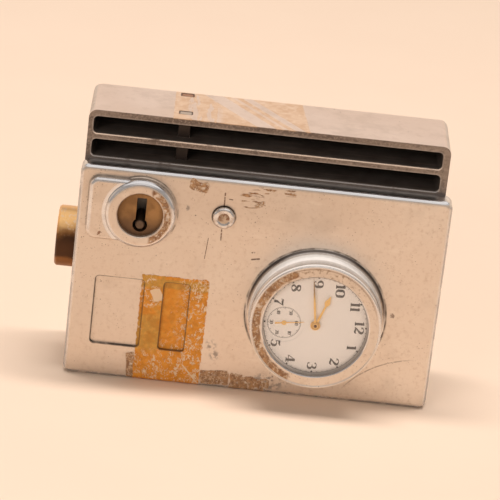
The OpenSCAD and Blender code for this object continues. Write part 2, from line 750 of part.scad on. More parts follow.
module carriage_spring() {
  color("#6f6a63") translate([(bar_x0 + bar_x1) / 2, spring_y, 0])
    wound_wire(spring_r - spring_wire, spring_wire, frame_floor + spring_wire + 0.02,
      bar_z0 - spring_wire - 0.02, spring_turns);
}

// A turned piece about the knob's axis; its profile is drawn as [radius, x]
module turned_x() {
  translate([0, knob_y, knob_z]) rotate([0, 90, 0]) rotate_extrude() children();
}

module push_knob() {
  color("#b5803f") difference() {
    turned_x() polygon([
      [0, knob_x0 + 0.3], [knob_r - 2.2, knob_x0 + 0.3], [knob_r - 1.5, knob_x0], [knob_r - 0.7, knob_x0],
      [knob_r, knob_x0 + 0.7], [knob_r, knob_in_x - 0.1], [flange_r, knob_in_x + 0.1],
      [flange_r, knob_in_x + flange_t], [0, knob_in_x + flange_t]
    ]);
    turned_x() polygon([[0, knob_in_x - 3], [rod_r, knob_in_x - 3], [rod_r, knob_in_x + 3], [0, knob_in_x + 3]]);
  }
}

module knob_rod() {
  pitch = PI * rod_m;
  line = knob_z - rod_rack_drop;
  color("#9a948c") difference() {
    turned_x() polygon([[0, knob_in_x - 3], [rod_r, knob_in_x - 3], [rod_r, rod_end_x - 0.5],
      [rod_r - 0.5, rod_end_x], [0, rod_end_x]]);
    // rack cut along the underside, its gaps matched to the small wheel's teeth
    slab(knob_y - rod_r - 1, 2 * rod_r + 2) for (i = [-2:ceil(knob_travel / pitch) + 2]) {
      x = wheel_x - i * pitch;
      polygon([
        [x - 0.18 * pitch, line + 1.25 * rod_m], [x + 0.18 * pitch, line + 1.25 * rod_m],
        [x + 0.46 * pitch, line - 1.1 * rod_m], [x - 0.46 * pitch, line - 1.1 * rod_m]
      ]);
    }
  }
}

module knob_bush() {
  color("#94703c") turned_x() polygon([
    [knob_r + run_gap, frame_x0], [flange_r, frame_x0], [flange_r, knob_in_x - 0.3], [knob_r + run_gap, knob_in_x - 0.3]
  ]);
}

module transfer_wheel() {
  color("#b08d57") difference() {
    union() {
      slab(wheel_y0, wheel_t) translate([wheel_x, wheel_z])
        polygon(wheel_outline(wheel_teeth, rack_m, 0, 0.9, 1.15, [0.6, 0.44, 0.18]));
      bar_y([wheel_x, wheel_z], rod_pinion_r - 0.6, wheel_y0 + wheel_t - e, knob_y - 2);
      slab(knob_y - 2.2, 4.4) translate([wheel_x, wheel_z])
        polygon(wheel_outline(rod_pinion_teeth, rod_m, 90, 0.85, 1.1, [0.6, 0.42, 0.18]));
    }
    bar_y([wheel_x, wheel_z], post_r + run_gap, wheel_y0 - 1, knob_y + 4);
  }
}

module wheel_post() {
  color("#8f8a84") turned([wheel_x, wheel_z]) polygon([
    [0, wheel_y0 - 1], [post_r + 1, wheel_y0 - 1], [post_r + 1, wheel_y0 - 0.1], [post_r, wheel_y0 - 0.1],
    [post_r, knob_y + 2.4], [post_r + 1, knob_y + 2.4], [post_r + 1, room_back_y], [post_r, room_back_y],
    [post_r, room_back_y + 1.2], [0, room_back_y + 1.2]
  ]);
}

module stop_lever() {
  arm_w = 1.5;
  color("#8f8a84") {
    difference() {
      union() {
        slab(stop_y0, stop_t) hull() {
          translate(stop_pivot) circle(3, $fn = 32);
          translate(stop_pivot - [0, stop_arm]) circle(arm_w, $fn = 32);
        }
        slab(stop_y0, stop_t) hull() {
          translate(stop_pivot) circle(2.4, $fn = 32);
          translate(brake_at) circle(0.9, $fn = 32);
        }
      }
      bar_y(stop_pivot, post_r + run_gap, stop_y0 - 1, stop_y0 + stop_t + 1);
    }
    bar_y(stop_pivot - [0, stop_arm], stop_pin_r, stop_y0 + 0.2, bar_y0 + 2);
    bar_y(brake_at, 0.4, balance_y - 0.2, stop_y0 + 0.2);
  }
}

module lever_post() {
  color("#9a948c") turned(stop_pivot) polygon([
    [0, inner_face_y], [post_r + 1, inner_face_y], [post_r + 1, stop_y0 - 0.1], [post_r, stop_y0 - 0.1],
    [post_r, stop_y0 + stop_t + 0.1], [post_r + 0.7, stop_y0 + stop_t + 0.1],
    [post_r + 0.7, stop_y0 + stop_t + 0.5], [0, stop_y0 + stop_t + 0.5]
  ]);
}

module watch_glass() {
  color("#e8f0f0", 0.35) turned(centre_at) polygon([
    [0, glass_y], [dial_r + 0.1, glass_y], [dial_r + 0.1, glass_y + glass_t], [0, glass_y + glass_t]
  ]);
}

module watch_dial() {
  sunk = 0.25;
  color("#f2e6da") difference() {
    bar_y(centre_at, dial_r, dial_y, dial_y + dial_t);
    bar_y(fourth_at, 7.2, dial_y - 1, dial_y + sunk);
    bar_y(centre_at, 1.5, dial_y - 1, dial_y + 2);
    bar_y(fourth_at, 0.5, dial_y - 1, dial_y + 2);
  }
  color("#b9b2a8") difference() {
    bar_y(centre_at, dial_r, dial_y + dial_t, plate_y);
    bar_y(centre_at, dial_r - 0.8, dial_y, plate_y + 1);
  }
}

minute_way_now = dial_turn - 6 * minute_now;
hour_way_now = dial_turn - 30 * hour_now - minute_now / 2;
second_way_now = dial_turn - 6 * second_now;

// A hand drawn along +X from its arbor, then turned to its place
module hand(at, way, y0, t, hub_r, hole_r, points) {
  slab(y0, t) translate(at) rotate(way) difference() {
    union() {
      circle(hub_r);
      polygon(points);
    }
    circle(hole_r);
  }
}

module minute_hand() {
  color("#d9a441") {
    hand(centre_at, minute_way_now, hands_y, minute_hand_t, 1.45, 0.5, [
      [0.8, -0.3], [minute_l * 0.4, -0.38], [minute_l * 0.75, -0.26], [minute_l, -0.06],
      [minute_l, 0.06], [minute_l * 0.75, 0.26], [minute_l * 0.4, 0.38], [0.8, 0.3]
    ]);
  }
}

module hour_hand() {
  color("#d9a441") {
    hand(centre_at, hour_way_now, hour_hand_y, minute_hand_t, 1.75, 1.06, [
      [1.2, -0.45], [hour_l * 0.66, -0.3], [hour_l * 0.73, -0.88], [hour_l * 0.8, -0.98], [hour_l * 0.88, -0.5],
      [hour_l, -0.07], [hour_l, 0.07], [hour_l * 0.88, 0.5], [hour_l * 0.8, 0.98], [hour_l * 0.73, 0.88],
      [hour_l * 0.66, 0.3], [1.2, 0.45]
    ]);
  }
}

module seconds_hand() {
  tail = 3.2;
  color("#d9a441") {
    slab(dial_y - 0.1, 0.2) translate(fourth_at) rotate(second_way_now) {
      difference() {
        union() {
          circle(0.85);
          polygon([[-tail, -0.3], [-0.5, -0.16], [seconds_l, -0.07], [seconds_l, 0.07], [-0.5, 0.16], [-tail, 0.3]]);
        }
        circle(0.26);
      }
    }
  }
}

module main_plate() {
  color("#c9c2b4") difference() {
    bar_y(centre_at, plate_r, plate_y, plate_back);
    bar_y(minute_at, 0.35 + run_gap, plate_y - 1, plate_y + 0.5);
    for (at = [centre_at, third_at, fourth_at, escape_at, pallet_at, balance_at])
      bar_y(at, arbor_r + run_gap, plate_y - 1, plate_back + 1);
    bar_y(barrel_at, 1.2 + run_gap, plate_y + 1, plate_back + 1);
  }
}

module movement_ring() {
  color("#b9b2a8") turned(centre_at) polygon([
    [sleeve_r, plate_back], [cup_r - 0.05, plate_back], [cup_r - 0.05, inner_face_y],
    [bezel_r + 0.6, inner_face_y], [bezel_r + 0.6, inner_face_y + 1.2], [sleeve_r, inner_face_y + 1.2]
  ]);
}

ring_screw_r = 23.2;

module ring_screws() {
  color("#8f8a84") for (a = [30, 210, 300])
    turned(centre_at + polar(ring_screw_r, a)) polygon([
      [0, inner_face_y + 1.2], [1.2, inner_face_y + 1.2], [1.2, inner_face_y + 1.9], [0, inner_face_y + 1.9]
    ]);
}

// A bridge's foot on the main plate
module foot(at, r) {
  bar_y(at, r, plate_back, bridge_y + 0.1);
}

module barrel_bridge() {
  color("#cfc8ba") difference() {
    union() {
      slab(bridge_y, bridge_t) hull() {
        translate(barrel_at) circle(3.4, $fn = 32);
        for (at = barrel_feet) translate(at) circle(foot_r, $fn = 32);
      }
      for (at = barrel_feet) foot(at, foot_r - 0.2);
    }
    bar_y(barrel_at, 1.2 + run_gap, bridge_y - 1, bridge_y + bridge_t + 1);
    for (at = barrel_feet) bar_y(at, 0.6, bridge_y, bridge_y + bridge_t + 1);
  }
}

module train_bridge() {
  color("#cfc8ba") difference() {
    union() {
      slab(bridge_y, bridge_t) {
        hull() for (at = [centre_at, third_at, train_feet[1]]) translate(at) circle(1.8, $fn = 32);
        hull() for (at = [third_at, fourth_at, train_feet[0]]) translate(at) circle(1.8, $fn = 32);
        hull() for (at = [fourth_at, escape_at]) translate(at) circle(1.6, $fn = 32);
      }
      for (at = train_feet) foot(at, foot_r - 0.2);
    }
    for (at = [centre_at, third_at, fourth_at, escape_at])
      bar_y(at, arbor_r + run_gap, bridge_y - 1, bridge_y + bridge_t + 1);
    for (at = train_feet) bar_y(at, 0.6, bridge_y, bridge_y + bridge_t + 1);
  }
}

module balance_cock() {
  color("#cfc8ba") difference() {
    union() {
      slab(cock_y, 1.2) hull() {
        translate(cock_foot) circle(cock_foot_r, $fn = 32);
        translate(balance_at) circle(2, $fn = 32);
      }
      bar_y(cock_foot, cock_foot_r - 0.15, plate_back, cock_y + 0.1);
    }
    bar_y(balance_at, 0.3 + run_gap, cock_y - 1, cock_y + 3);
    bar_y(cock_foot, 0.6, cock_y, cock_y + 3);
  }
}

module bridge_screws() {
  color("#5f6a86") {
    for (at = concat(barrel_feet, train_feet)) turned(at) polygon([
      [0, bridge_y + 0.1], [0.58, bridge_y + 0.1], [0.58, bridge_y + bridge_t], [1.1, bridge_y + bridge_t],
      [1.1, bridge_y + bridge_t + 0.5], [0, bridge_y + bridge_t + 0.5]
    ]);
    turned(cock_foot) polygon([
      [0, cock_y + 0.1], [0.58, cock_y + 0.1], [0.58, cock_y + 1.2], [1.1, cock_y + 1.2], [1.1, cock_y + 1.7], [0, cock_y + 1.7]
    ]);
  }
}

module wheel_blank(at, teeth, m, middle, y0) {
  slab(y0, wheel_thick) translate(at) difference() {
    polygon(fine_outline(teeth, m, middle, 0.85, 1.2, [0.56, 0.2]));
    for (i = [0:4]) rotate(72 * i) translate([teeth * m * 0.27, 0]) circle(teeth * m * 0.105);
  }
}

module pinion(at, leaves, m, middle, y0, y1) {
  slab(y0, y1 - y0) translate(at) polygon(fine_outline(leaves, m, middle, 0.55, 1.1, [0.46, 0.2]));
}

module mainspring_barrel() {
  color("#c8a860") difference() {
    union() {
      slab(barrel_level, 0.5) translate(barrel_at)
        polygon(fine_outline(barrel_teeth, barrel_m, barrel_way + 180, 0.85, 1.2, [0.56, 0.2]));
      bar_y(barrel_at, barrel_m * (barrel_teeth - 4) / 2, barrel_level + 0.4, barrel_level + 1.9);
    }
    bar_y(barrel_at, 1.2 + run_gap, barrel_level - 1, barrel_level + 3);
  }
}

ratchet_teeth = 24;
ratchet_r = 4.6;
ratchet_y = bridge_y + bridge_t + 0.1;

module ratchet_wheel() {
  color("#c0b8a8") {
    slab(ratchet_y, 0.5) translate(barrel_at) polygon([
      for (i = [0:ratchet_teeth - 1], k = [0, 1])
        polar(k == 0 ? ratchet_r : ratchet_r - 0.5, (i + k * 0.15) * 360 / ratchet_teeth)
    ]);
    bar_y(barrel_at, 1.2, plate_y + 1.1, ratchet_y + 0.1);
    // square for the winding key
    slab(ratchet_y + 0.4, 2.4) translate(barrel_at) square(1.6, center = true);
  }
}

click_at = barrel_at + polar(ratchet_r + 2.2, dial_turn - 20);

module click() {
  color("#5f6a86") difference() {
    slab(ratchet_y + 0.05, 0.45) translate(click_at) rotate(dial_turn + 90) {
      circle(1.1);
      polygon([[0, -0.8], [2.6, 0.9], [2.9, 1.55], [2.3, 1.3], [0, 0.9]]);
    }
    bar_y(click_at, 0.4, ratchet_y - 1, ratchet_y + 2);
  }
}

module centre_wheel() {
  color("#d2b06a") {
    wheel_blank(centre_at, centre_teeth, centre_m, third_way, centre_level);
    pinion(centre_at, centre_leaves, barrel_m, barrel_way + 180 / centre_leaves, barrel_level - 0.1, barrel_level + 0.9);
    bar_y(centre_at, 0.6, plate_back + 0.1, centre_level + 0.5);
    bar_y(centre_at, arbor_r, centre_level, bridge_y + bridge_t);
    // arbor through the main plate that carries the cannon pinion
    bar_y(centre_at, 0.45, hands_y - 0.1, plate_back + 0.2);
  }
}

cannon_m = 2 * motion_d / (cannon_teeth + minute_teeth);
minute_pinion_m = 2 * motion_d / (minute_leaves + hour_teeth);
motion_y = dial_y + dial_t + 0.1;

module cannon_pinion() {
  color("#b8b0a4") difference() {
    union() {
      slab(motion_y + 0.5, 0.4) translate(centre_at)
        polygon(fine_outline(cannon_teeth, cannon_m, minute_way, 0.7, 1.1, [0.5, 0.2]));
      bar_y(centre_at, 0.75, hour_hand_y + 0.1, motion_y + 0.6);
      bar_y(centre_at, 0.5, hands_y, hour_hand_y + 0.2);
    }
    bar_y(centre_at, 0.45, hands_y - 1, motion_y + 2);
  }
}

module minute_wheel() {
  color("#d2b06a") {
    slab(motion_y + 0.5, 0.35) translate(minute_at)
      polygon(fine_outline(minute_teeth, cannon_m, minute_way + 180 + 180 / minute_teeth, 0.7, 1.1, [0.5, 0.2]));
    slab(motion_y + 0.05, 0.5) translate(minute_at)
      polygon(fine_outline(minute_leaves, minute_pinion_m, minute_way + 180 + 180 / minute_leaves, 0.6, 1.1, [0.48, 0.2]));
    bar_y(minute_at, 0.35, motion_y + 0.8, plate_y + 0.3);
  }
}

module hour_wheel() {
  color("#d2b06a") difference() {
    union() {
      slab(motion_y + 0.05, 0.35) translate(centre_at)
        polygon(fine_outline(hour_teeth, minute_pinion_m, minute_way, 0.7, 1.1, [0.5, 0.2]));
      bar_y(centre_at, 1.06, hour_hand_y, motion_y + 0.1);
    }
    bar_y(centre_at, 0.75 + run_gap, hour_hand_y - 1, motion_y + 2);
  }
}

module third_wheel() {
  color("#d2b06a") {
    wheel_blank(third_at, third_teeth, third_m, third_way_to_fourth, third_level);
    pinion(third_at, pinion_leaves, centre_m, third_way + 180 + 180 / pinion_leaves, centre_level - 0.3, centre_level + 0.6);
    bar_y(third_at, arbor_r, plate_y + 0.4, bridge_y + bridge_t - 0.2);
  }
}

between = fourth_at - third_at;
third_way_to_fourth = atan2(between[1], between[0]);

module fourth_wheel() {
  color("#d2b06a") {
    wheel_blank(fourth_at, fourth_teeth, fourth_m, escape_way, fourth_level);
    pinion(fourth_at, pinion_leaves, third_m, third_way_to_fourth + 180 + 180 / pinion_leaves,
      third_level - 0.2, third_level + 0.6);
    bar_y(fourth_at, arbor_r, dial_y + 0.12, bridge_y + bridge_t - 0.2);
    bar_y(fourth_at, 0.25, dial_y - 0.1, dial_y + 0.2);
  }
}

module escape_wheel() {
  color("#c8c0b0") {
    slab(escape_level, wheel_thick) translate(escape_at) rotate(balance_way + 6) difference() {
      polygon([for (i = [0:escape_teeth - 1], k = [0:3])
        polar([escape_r - 1, escape_r, escape_r, escape_r - 0.95][k],
          (i + [-0.1, 0.12, 0.2, 0.24][k]) * 360 / escape_teeth)]);
      for (i = [0:3]) rotate(90 * i + 20) translate([1.75, 0]) circle(0.62);
    }
    pinion(escape_at, escape_leaves, fourth_m, escape_way + 180 + 180 / escape_leaves,
      fourth_level - 0.15, fourth_level + 0.5);
    bar_y(escape_at, arbor_r - 0.1, plate_y + 0.4, bridge_y + bridge_t - 0.2);
  }
}

module pallet_fork() {
  stone_r = escape_r + 0.24;
  color("#b8b0a4") {
    slab(escape_level, 0.3) translate(escape_at) rotate(balance_way) {
      // anchor arms with a stone at each end, and the fork towards the balance
      for (s = [-1, 1]) {
        polygon([
          [pallet_d - 0.5, 0], [pallet_d + 0.5, 0], polar(stone_r + 1.15, s * 33), polar(stone_r + 0.45, s * 33)
        ]);
        rotate(s * 31) translate([stone_r, -0.17]) square([0.9, 0.34]);
        polygon([
          [pallet_d, s * 0.3], [pallet_d + 3.7, s * 0.22], [pallet_d + 4.3, s * 0.75], [pallet_d + 4.6, s * 0.75],
          [pallet_d + 4.6, s * 0.4], [pallet_d + 3.9, 0], [pallet_d, 0]
        ]);
      }
      translate([pallet_d, 0]) circle(0.75);
    }
    bar_y(pallet_at, arbor_r - 0.1, plate_y + 0.4, escape_level + 0.9);
  }
}

module balance_wheel() {
  color("#d2b06a") {
    difference() {
      bar_y(balance_at, balance_r, balance_y, balance_y + 0.7);
      difference() {
        bar_y(balance_at, balance_r - 0.7, balance_y - 1, balance_y + 2);
        block([balance_at[0] - balance_r, balance_y + 0.2, balance_at[1] - 0.4],
          [balance_at[0] + balance_r, balance_y + 0.5, balance_at[1] + 0.4]);
      }
    }
    bar_y(balance_at, 0.4, plate_y + 0.4, cock_y - 0.2);
    bar_y(balance_at, 0.3, plate_y + 0.5, cock_y + 1);
    bar_y(balance_at, 1.1, balance_y - 0.75, balance_y - 0.45);
  }
}

// A flat spiral strip from the balance's staff to the stud under the cock
module hairspring() {
  turns = 5;
  strip = 0.12;
  function at_turn(t, side) = polar(0.75 + (3.1 - 0.75) * t / turns + side * strip / 2, 360 * t);
  color("#4f5f86") {
    slab(balance_y + 0.85, 0.3) translate(balance_at) {
      polygon(concat(
        [for (i = [0:turns * 16]) at_turn(i / 16, 1)],
        [for (i = [turns * 16:-1:0]) at_turn(i / 16, -1)]
      ));
      difference() {
        circle(0.8);
        circle(0.41);
      }
    }
  }
}

front_cover();
rear_frame();
case_screws();
cover_stud();
lock_plate();
key_pin();
lock_case();
lock_screws();
lock_bolt();
lock_levers();
lever_springs();
bolt_carriage();
front_bolt();
rear_bolt();
carriage_spring();
push_knob();
knob_rod();
knob_bush();
transfer_wheel();
wheel_post();
stop_lever();
lever_post();
watch_glass();
watch_dial();
hour_hand();
minute_hand();
seconds_hand();
main_plate();
movement_ring();
ring_screws();
barrel_bridge();
train_bridge();
balance_cock();
bridge_screws();
mainspring_barrel();
ratchet_wheel();
click();
centre_wheel();
cannon_pinion();
minute_wheel();
hour_wheel();
third_wheel();
fourth_wheel();
escape_wheel();
pallet_fork();
balance_wheel();
hairspring();
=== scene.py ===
import json
import math

import bpy
from mathutils import Matrix, Vector


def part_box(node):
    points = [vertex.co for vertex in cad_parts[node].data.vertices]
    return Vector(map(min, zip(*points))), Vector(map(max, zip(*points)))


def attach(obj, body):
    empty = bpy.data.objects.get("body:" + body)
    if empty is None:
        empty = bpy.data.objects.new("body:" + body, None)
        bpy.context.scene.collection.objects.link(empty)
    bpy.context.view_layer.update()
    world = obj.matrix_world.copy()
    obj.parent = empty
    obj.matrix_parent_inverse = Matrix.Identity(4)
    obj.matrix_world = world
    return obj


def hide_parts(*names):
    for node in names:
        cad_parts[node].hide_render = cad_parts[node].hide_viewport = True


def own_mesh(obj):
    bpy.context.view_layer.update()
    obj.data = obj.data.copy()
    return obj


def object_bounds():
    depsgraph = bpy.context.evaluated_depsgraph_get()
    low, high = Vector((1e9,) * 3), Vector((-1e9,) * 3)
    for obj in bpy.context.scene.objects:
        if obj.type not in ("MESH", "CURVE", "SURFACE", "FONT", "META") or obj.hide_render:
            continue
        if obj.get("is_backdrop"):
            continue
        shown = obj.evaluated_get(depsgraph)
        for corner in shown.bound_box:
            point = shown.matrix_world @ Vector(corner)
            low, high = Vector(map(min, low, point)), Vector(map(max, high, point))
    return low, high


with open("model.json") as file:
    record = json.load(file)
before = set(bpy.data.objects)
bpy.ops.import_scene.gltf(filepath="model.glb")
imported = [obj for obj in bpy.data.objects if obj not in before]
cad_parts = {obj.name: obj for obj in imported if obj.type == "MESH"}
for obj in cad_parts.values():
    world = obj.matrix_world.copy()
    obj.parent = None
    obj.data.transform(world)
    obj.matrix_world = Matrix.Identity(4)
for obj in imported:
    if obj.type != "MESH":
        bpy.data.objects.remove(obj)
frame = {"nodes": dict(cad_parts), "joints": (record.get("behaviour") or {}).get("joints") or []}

cad_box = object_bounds()
scene = bpy.context.scene
scene.view_settings.view_transform = "Standard"

# The view. The clock stands on a pale table and is seen from 21 degrees above, a little
# from the left, through a long lens held slightly askew.
tilt, yaw, roll = math.radians(21.3), math.radians(1.56), math.radians(-6.65)
distance = 1.1056
sensor_mm, picture_px, focal_px = 36, 500, 3135.6
cover_depth = 7.3
aim = Vector((-0.00357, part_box("front_cover")[1][1] - cover_depth / 1000, 0.05415))
forward = Vector((math.sin(yaw) * math.cos(tilt), math.cos(yaw) * math.cos(tilt), -math.sin(tilt)))
right = Vector((math.cos(yaw), -math.sin(yaw), 0))
up = right.cross(forward)
across = right * math.cos(roll) - up * math.sin(roll)
upward = right * math.sin(roll) + up * math.cos(roll)
lens = bpy.data.cameras.new("view")
lens.sensor_width = sensor_mm
lens.lens = focal_px / picture_px * sensor_mm
lens.clip_start, lens.clip_end = 0.05, 20
viewer = bpy.data.objects.new("view", lens)
scene.collection.objects.link(viewer)
turn = Matrix((across, upward, -forward)).transposed().to_4x4()
viewer.matrix_world = Matrix.Translation(aim - forward * distance) @ turn
scene.camera = viewer


# The table: a pale peach sheet of paper, matt and very slightly clouded. First come the
# classes that all finishes use: Value is a number or colour that leaves a node, on which
# sums can be written, Nodes adds to a node tree, and Finish is one material's tree.
class Value:
    def __init__(self, nodes, socket):
        self.nodes = nodes
        self.socket = socket

    def maths(self, operation, *others):
        return self.nodes.maths(operation, self, *others)

    def __add__(self, other):
        return self.maths("ADD", other)

    def __radd__(self, other):
        return self.nodes.maths("ADD", other, self)

    def __sub__(self, other):
        return self.maths("SUBTRACT", other)

    def __rsub__(self, other):
        return self.nodes.maths("SUBTRACT", other, self)

    def __mul__(self, other):
        return self.maths("MULTIPLY", other)

    def __rmul__(self, other):
        return self.nodes.maths("MULTIPLY", other, self)

    def __abs__(self):
        return self.maths("ABSOLUTE")

    def at_least(self, other):
        return self.maths("MAXIMUM", other)

    def at_most(self, other):
        return self.maths("MINIMUM", other)


class Nodes:
    def __init__(self, tree):
        self.tree = tree

    def feed(self, socket, value):
        if isinstance(value, Value):
            self.tree.links.new(value.socket, socket)
        elif isinstance(value, tuple) and len(value) == 3 and socket.type == "RGBA":
            socket.default_value = (*value, 1)
        else:
            socket.default_value = value

    def node(self, kind, settings=None, inputs=None, out=0):
        node = self.tree.nodes.new("ShaderNode" + kind)
        for name, value in (settings or {}).items():
            setattr(node, name, value)
        for name, value in (inputs or {}).items():
            self.feed(node.inputs[name], value)
        return Value(self, node.outputs[out])

    def maths(self, operation, *values):
        return self.node("Math", {"operation": operation}, dict(enumerate(values)))

    def fade(self, value, start, end, course="SMOOTHSTEP"):
        return self.node("MapRange", {"interpolation_type": course},
                         {"Value": value, "From Min": start, "From Max": end, "To Min": 0.0, "To Max": 1.0})

    def colour(self, factor, low, high):
        return self.node("Mix", {"data_type": "RGBA"}, {0: factor, 6: low, 7: high}, out=2)


class Finish(Nodes):
    def __init__(self, name, metallic=0.0, roughness=0.5):
        self.material = bpy.data.materials.new(name)
        self.material.use_nodes = True
        super().__init__(self.material.node_tree)
        self.tree.nodes.clear()
        self.shader = self.tree.nodes.new("ShaderNodeBsdfPrincipled")
        output = self.tree.nodes.new("ShaderNodeOutputMaterial")
        self.tree.links.new(self.shader.outputs[0], output.inputs[0])
        self.set(Metallic=metallic, Roughness=roughness)
        self.place = self.node("TexCoord", out="Object")
        self.x, self.y, self.z = (
            self.node("SeparateXYZ", inputs={0: self.place}, out=axis) * 1000 for axis in range(3))

    def set(self, **values):
        for name, value in values.items():
            self.feed(self.shader.inputs[name.replace("_", " ")], value)

    def noise(self, size, detail=3.0, stretch=(1, 1, 1), seed=0.0, rough=0.5):
        moved = (seed, seed * 0.7, -seed)
        place = self.node("Mapping", inputs={"Vector": self.place, "Location": moved, "Scale": stretch})
        return self.node("TexNoise", inputs={"Vector": place, "Scale": 1000 / size, "Detail": detail,
                                             "Roughness": rough}, out="Fac")

    def cells(self, size, seed=0.0):
        place = self.node("Mapping", inputs={"Vector": self.place, "Location": (seed, -seed, seed)})
        return self.node("TexVoronoi", inputs={"Vector": place, "Scale": 1000 / size}, out="Distance")

    def blend(self, factor, low, high):
        return low + (high - low) * factor

    def bump(self, height, depth):
        return self.node("Bump", inputs={"Height": height, "Distance": depth, "Strength": 1.0})

    def reach(self, middle_x, middle_z):
        return self.maths("SQRT", (self.x - middle_x) * (self.x - middle_x)
                          + (self.z - middle_z) * (self.z - middle_z))

    def rectangle(self, across, upward, width, height, corner):
        """Distance in mm outside a rectangle with round corners, negative inside it."""
        out_x = abs(across) - width / 2 + corner
        out_z = abs(upward) - height / 2 + corner
        free_x, free_z = out_x.at_least(0), out_z.at_least(0)
        outside = self.maths("SQRT", free_x * free_x + free_z * free_z)
        return outside + out_x.at_least(out_z).at_most(0) - corner

    def panel(self, low_x, low_z, high_x, high_z, turned=0.0, corner=0.4):
        """The same for a rectangle drawn on the front between two corners, then turned."""
        x, z = self.x - (low_x + high_x) / 2, self.z - (low_z + high_z) / 2
        cosine, sine = math.cos(turned), math.sin(turned)
        return self.rectangle(x * cosine + z * sine, z * cosine - x * sine,
                              high_x - low_x, high_z - low_z, corner)

    def stroke(self, start, end, width):
        """1 on a straight mark on the front from start to end, 0 beside it."""
        run = math.dist(start, end)
        middle_x, middle_z = (start[0] + end[0]) / 2, (start[1] + end[1]) / 2
        turned = math.atan2(end[1] - start[1], end[0] - start[0])
        outside = self.panel(middle_x - run / 2, middle_z - width / 2,
                             middle_x + run / 2, middle_z + width / 2, turned, width / 2)
        return 1 - self.fade(outside, -width / 4, width / 4)

    def scribble(self, size, width, seed, stretch=(1, 1, 1)):
        """1 on thin curly lines."""
        return 1 - self.fade(abs(self.noise(size, 3, stretch, seed) - 0.5), width / 2, width)

    def wear(self, *nodes):
        for name in nodes:
            piece = frame["nodes"][name]
            piece.data.materials.clear()
            piece.data.materials.append(self.material)


bpy.ops.object.select_all(action="DESELECT")
bpy.ops.mesh.primitive_plane_add(size=6, location=(0, 1.0, 0))
table = bpy.context.object
table.name = "table"
sheet = Finish("table sheet", roughness=0.9)
sheet.set(Base_Color=sheet.colour(sheet.noise(60, 2), (0.90, 0.715, 0.575), (0.93, 0.75, 0.605)))
table.data.materials.append(sheet.material)
table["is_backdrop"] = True

# The light: a dim warm room with one wide soft lamp, which hangs a little behind the
# clock, and a weak fill from the front left. The polished metal mirrors no lamp. It
# mirrors the pale backdrop low behind the clock, a bright ceiling and the room.
room = bpy.data.worlds.new("room")
scene.world = room
room.use_nodes = True
air = Nodes(room.node_tree)
to_camera, mirrored, through_glass = (
    air.node("LightPath", out=f"Is {ray} Ray") for ray in ("Camera", "Glossy", "Transmission"))
direction = air.node("TexCoord", out="Generated")
backwards, upwards = (air.node("SeparateXYZ", inputs={0: direction}, out=axis) for axis in "YZ")
behind_clock = air.fade(backwards, -0.25, 0.25, "LINEAR")
low_down = air.fade(upwards, 0.62, 0.45, "LINEAR")
overhead = air.fade(upwards, 0.66, 0.84, "LINEAR")
walls = air.colour(behind_clock * low_down, (0.42, 0.38, 0.35), (0.95, 0.75, 0.58))
view_of_room = air.colour(overhead, walls, (1.0, 0.96, 0.93))
in_view = to_camera.at_least(mirrored).at_least(through_glass)
air.feed(air.tree.nodes["Background"].inputs["Color"],
         air.colour(in_view, (0.26, 0.235, 0.21), view_of_room))


def lamp(name, place, target, size, power, colour):
    light = bpy.data.lights.new(name, "AREA")
    light.shape = "RECTANGLE"
    light.size, light.size_y = size
    light.energy = power
    light.color = colour
    holder = bpy.data.objects.new(name, light)
    scene.collection.objects.link(holder)
    holder.location = place
    holder.rotation_euler = (Vector(target) - Vector(place)).to_track_quat("-Z", "Y").to_euler()
    holder.visible_glossy = False


lamp("overhead", (0.05, 0.13, 1.5), (0.05, 0.13, 0), (1.2, 0.2), 21.0, (1.0, 0.93, 0.87))
lamp("front left", (-0.5, -0.9, 0.5), (0, 0, 0.04), (0.5, 0.3), 2.7, (1.0, 0.95, 0.9))

# Front cover: one aluminium casting with the watch bezel, the lock bezel, the pad beside
# it and two sunk panels. Its edges and bezels are polished, its face is scuffed, and old
# paint and glue cling to it. Sizes and places on finishes are in mm.
def box_mm(name):
    """A node's lowest and highest corners in mm."""
    return [tuple(1000 * v for v in corner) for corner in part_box(name)]


def smooth(*names, angle=30):
    """Rounds the shading of CAD pieces across their small facets."""
    bpy.ops.object.select_all(action="DESELECT")
    for name in names:
        frame["nodes"][name].select_set(True)
        bpy.context.view_layer.objects.active = frame["nodes"][name]
    bpy.ops.object.shade_smooth_by_angle(angle=math.radians(angle))


cover_low, cover_high = box_mm("front_cover")
glass_low, glass_high = box_mm("watch_glass")
plate_low, plate_high = box_mm("lock_plate")
stud_low, stud_high = box_mm("cover_stud")
half_w, cover_h, rim_y = cover_high[0], cover_high[2], cover_low[1]
face_y = cover_high[1] - cover_depth
watch_x, watch_z = (glass_low[0] + glass_high[0]) / 2, (glass_low[2] + glass_high[2]) / 2
lock_x, lock_z = (plate_low[0] + plate_high[0]) / 2, (plate_low[2] + plate_high[2]) / 2
stud_x, stud_z = (stud_low[0] + stud_high[0]) / 2, (stud_low[2] + stud_high[2]) / 2
opening_r, bezel_r, bezel_foot_r = 18.9, 22.4, 24.9
lock_ring_r, lock_foot_r, stud_foot_r = 10.9, 13.0, 4.1

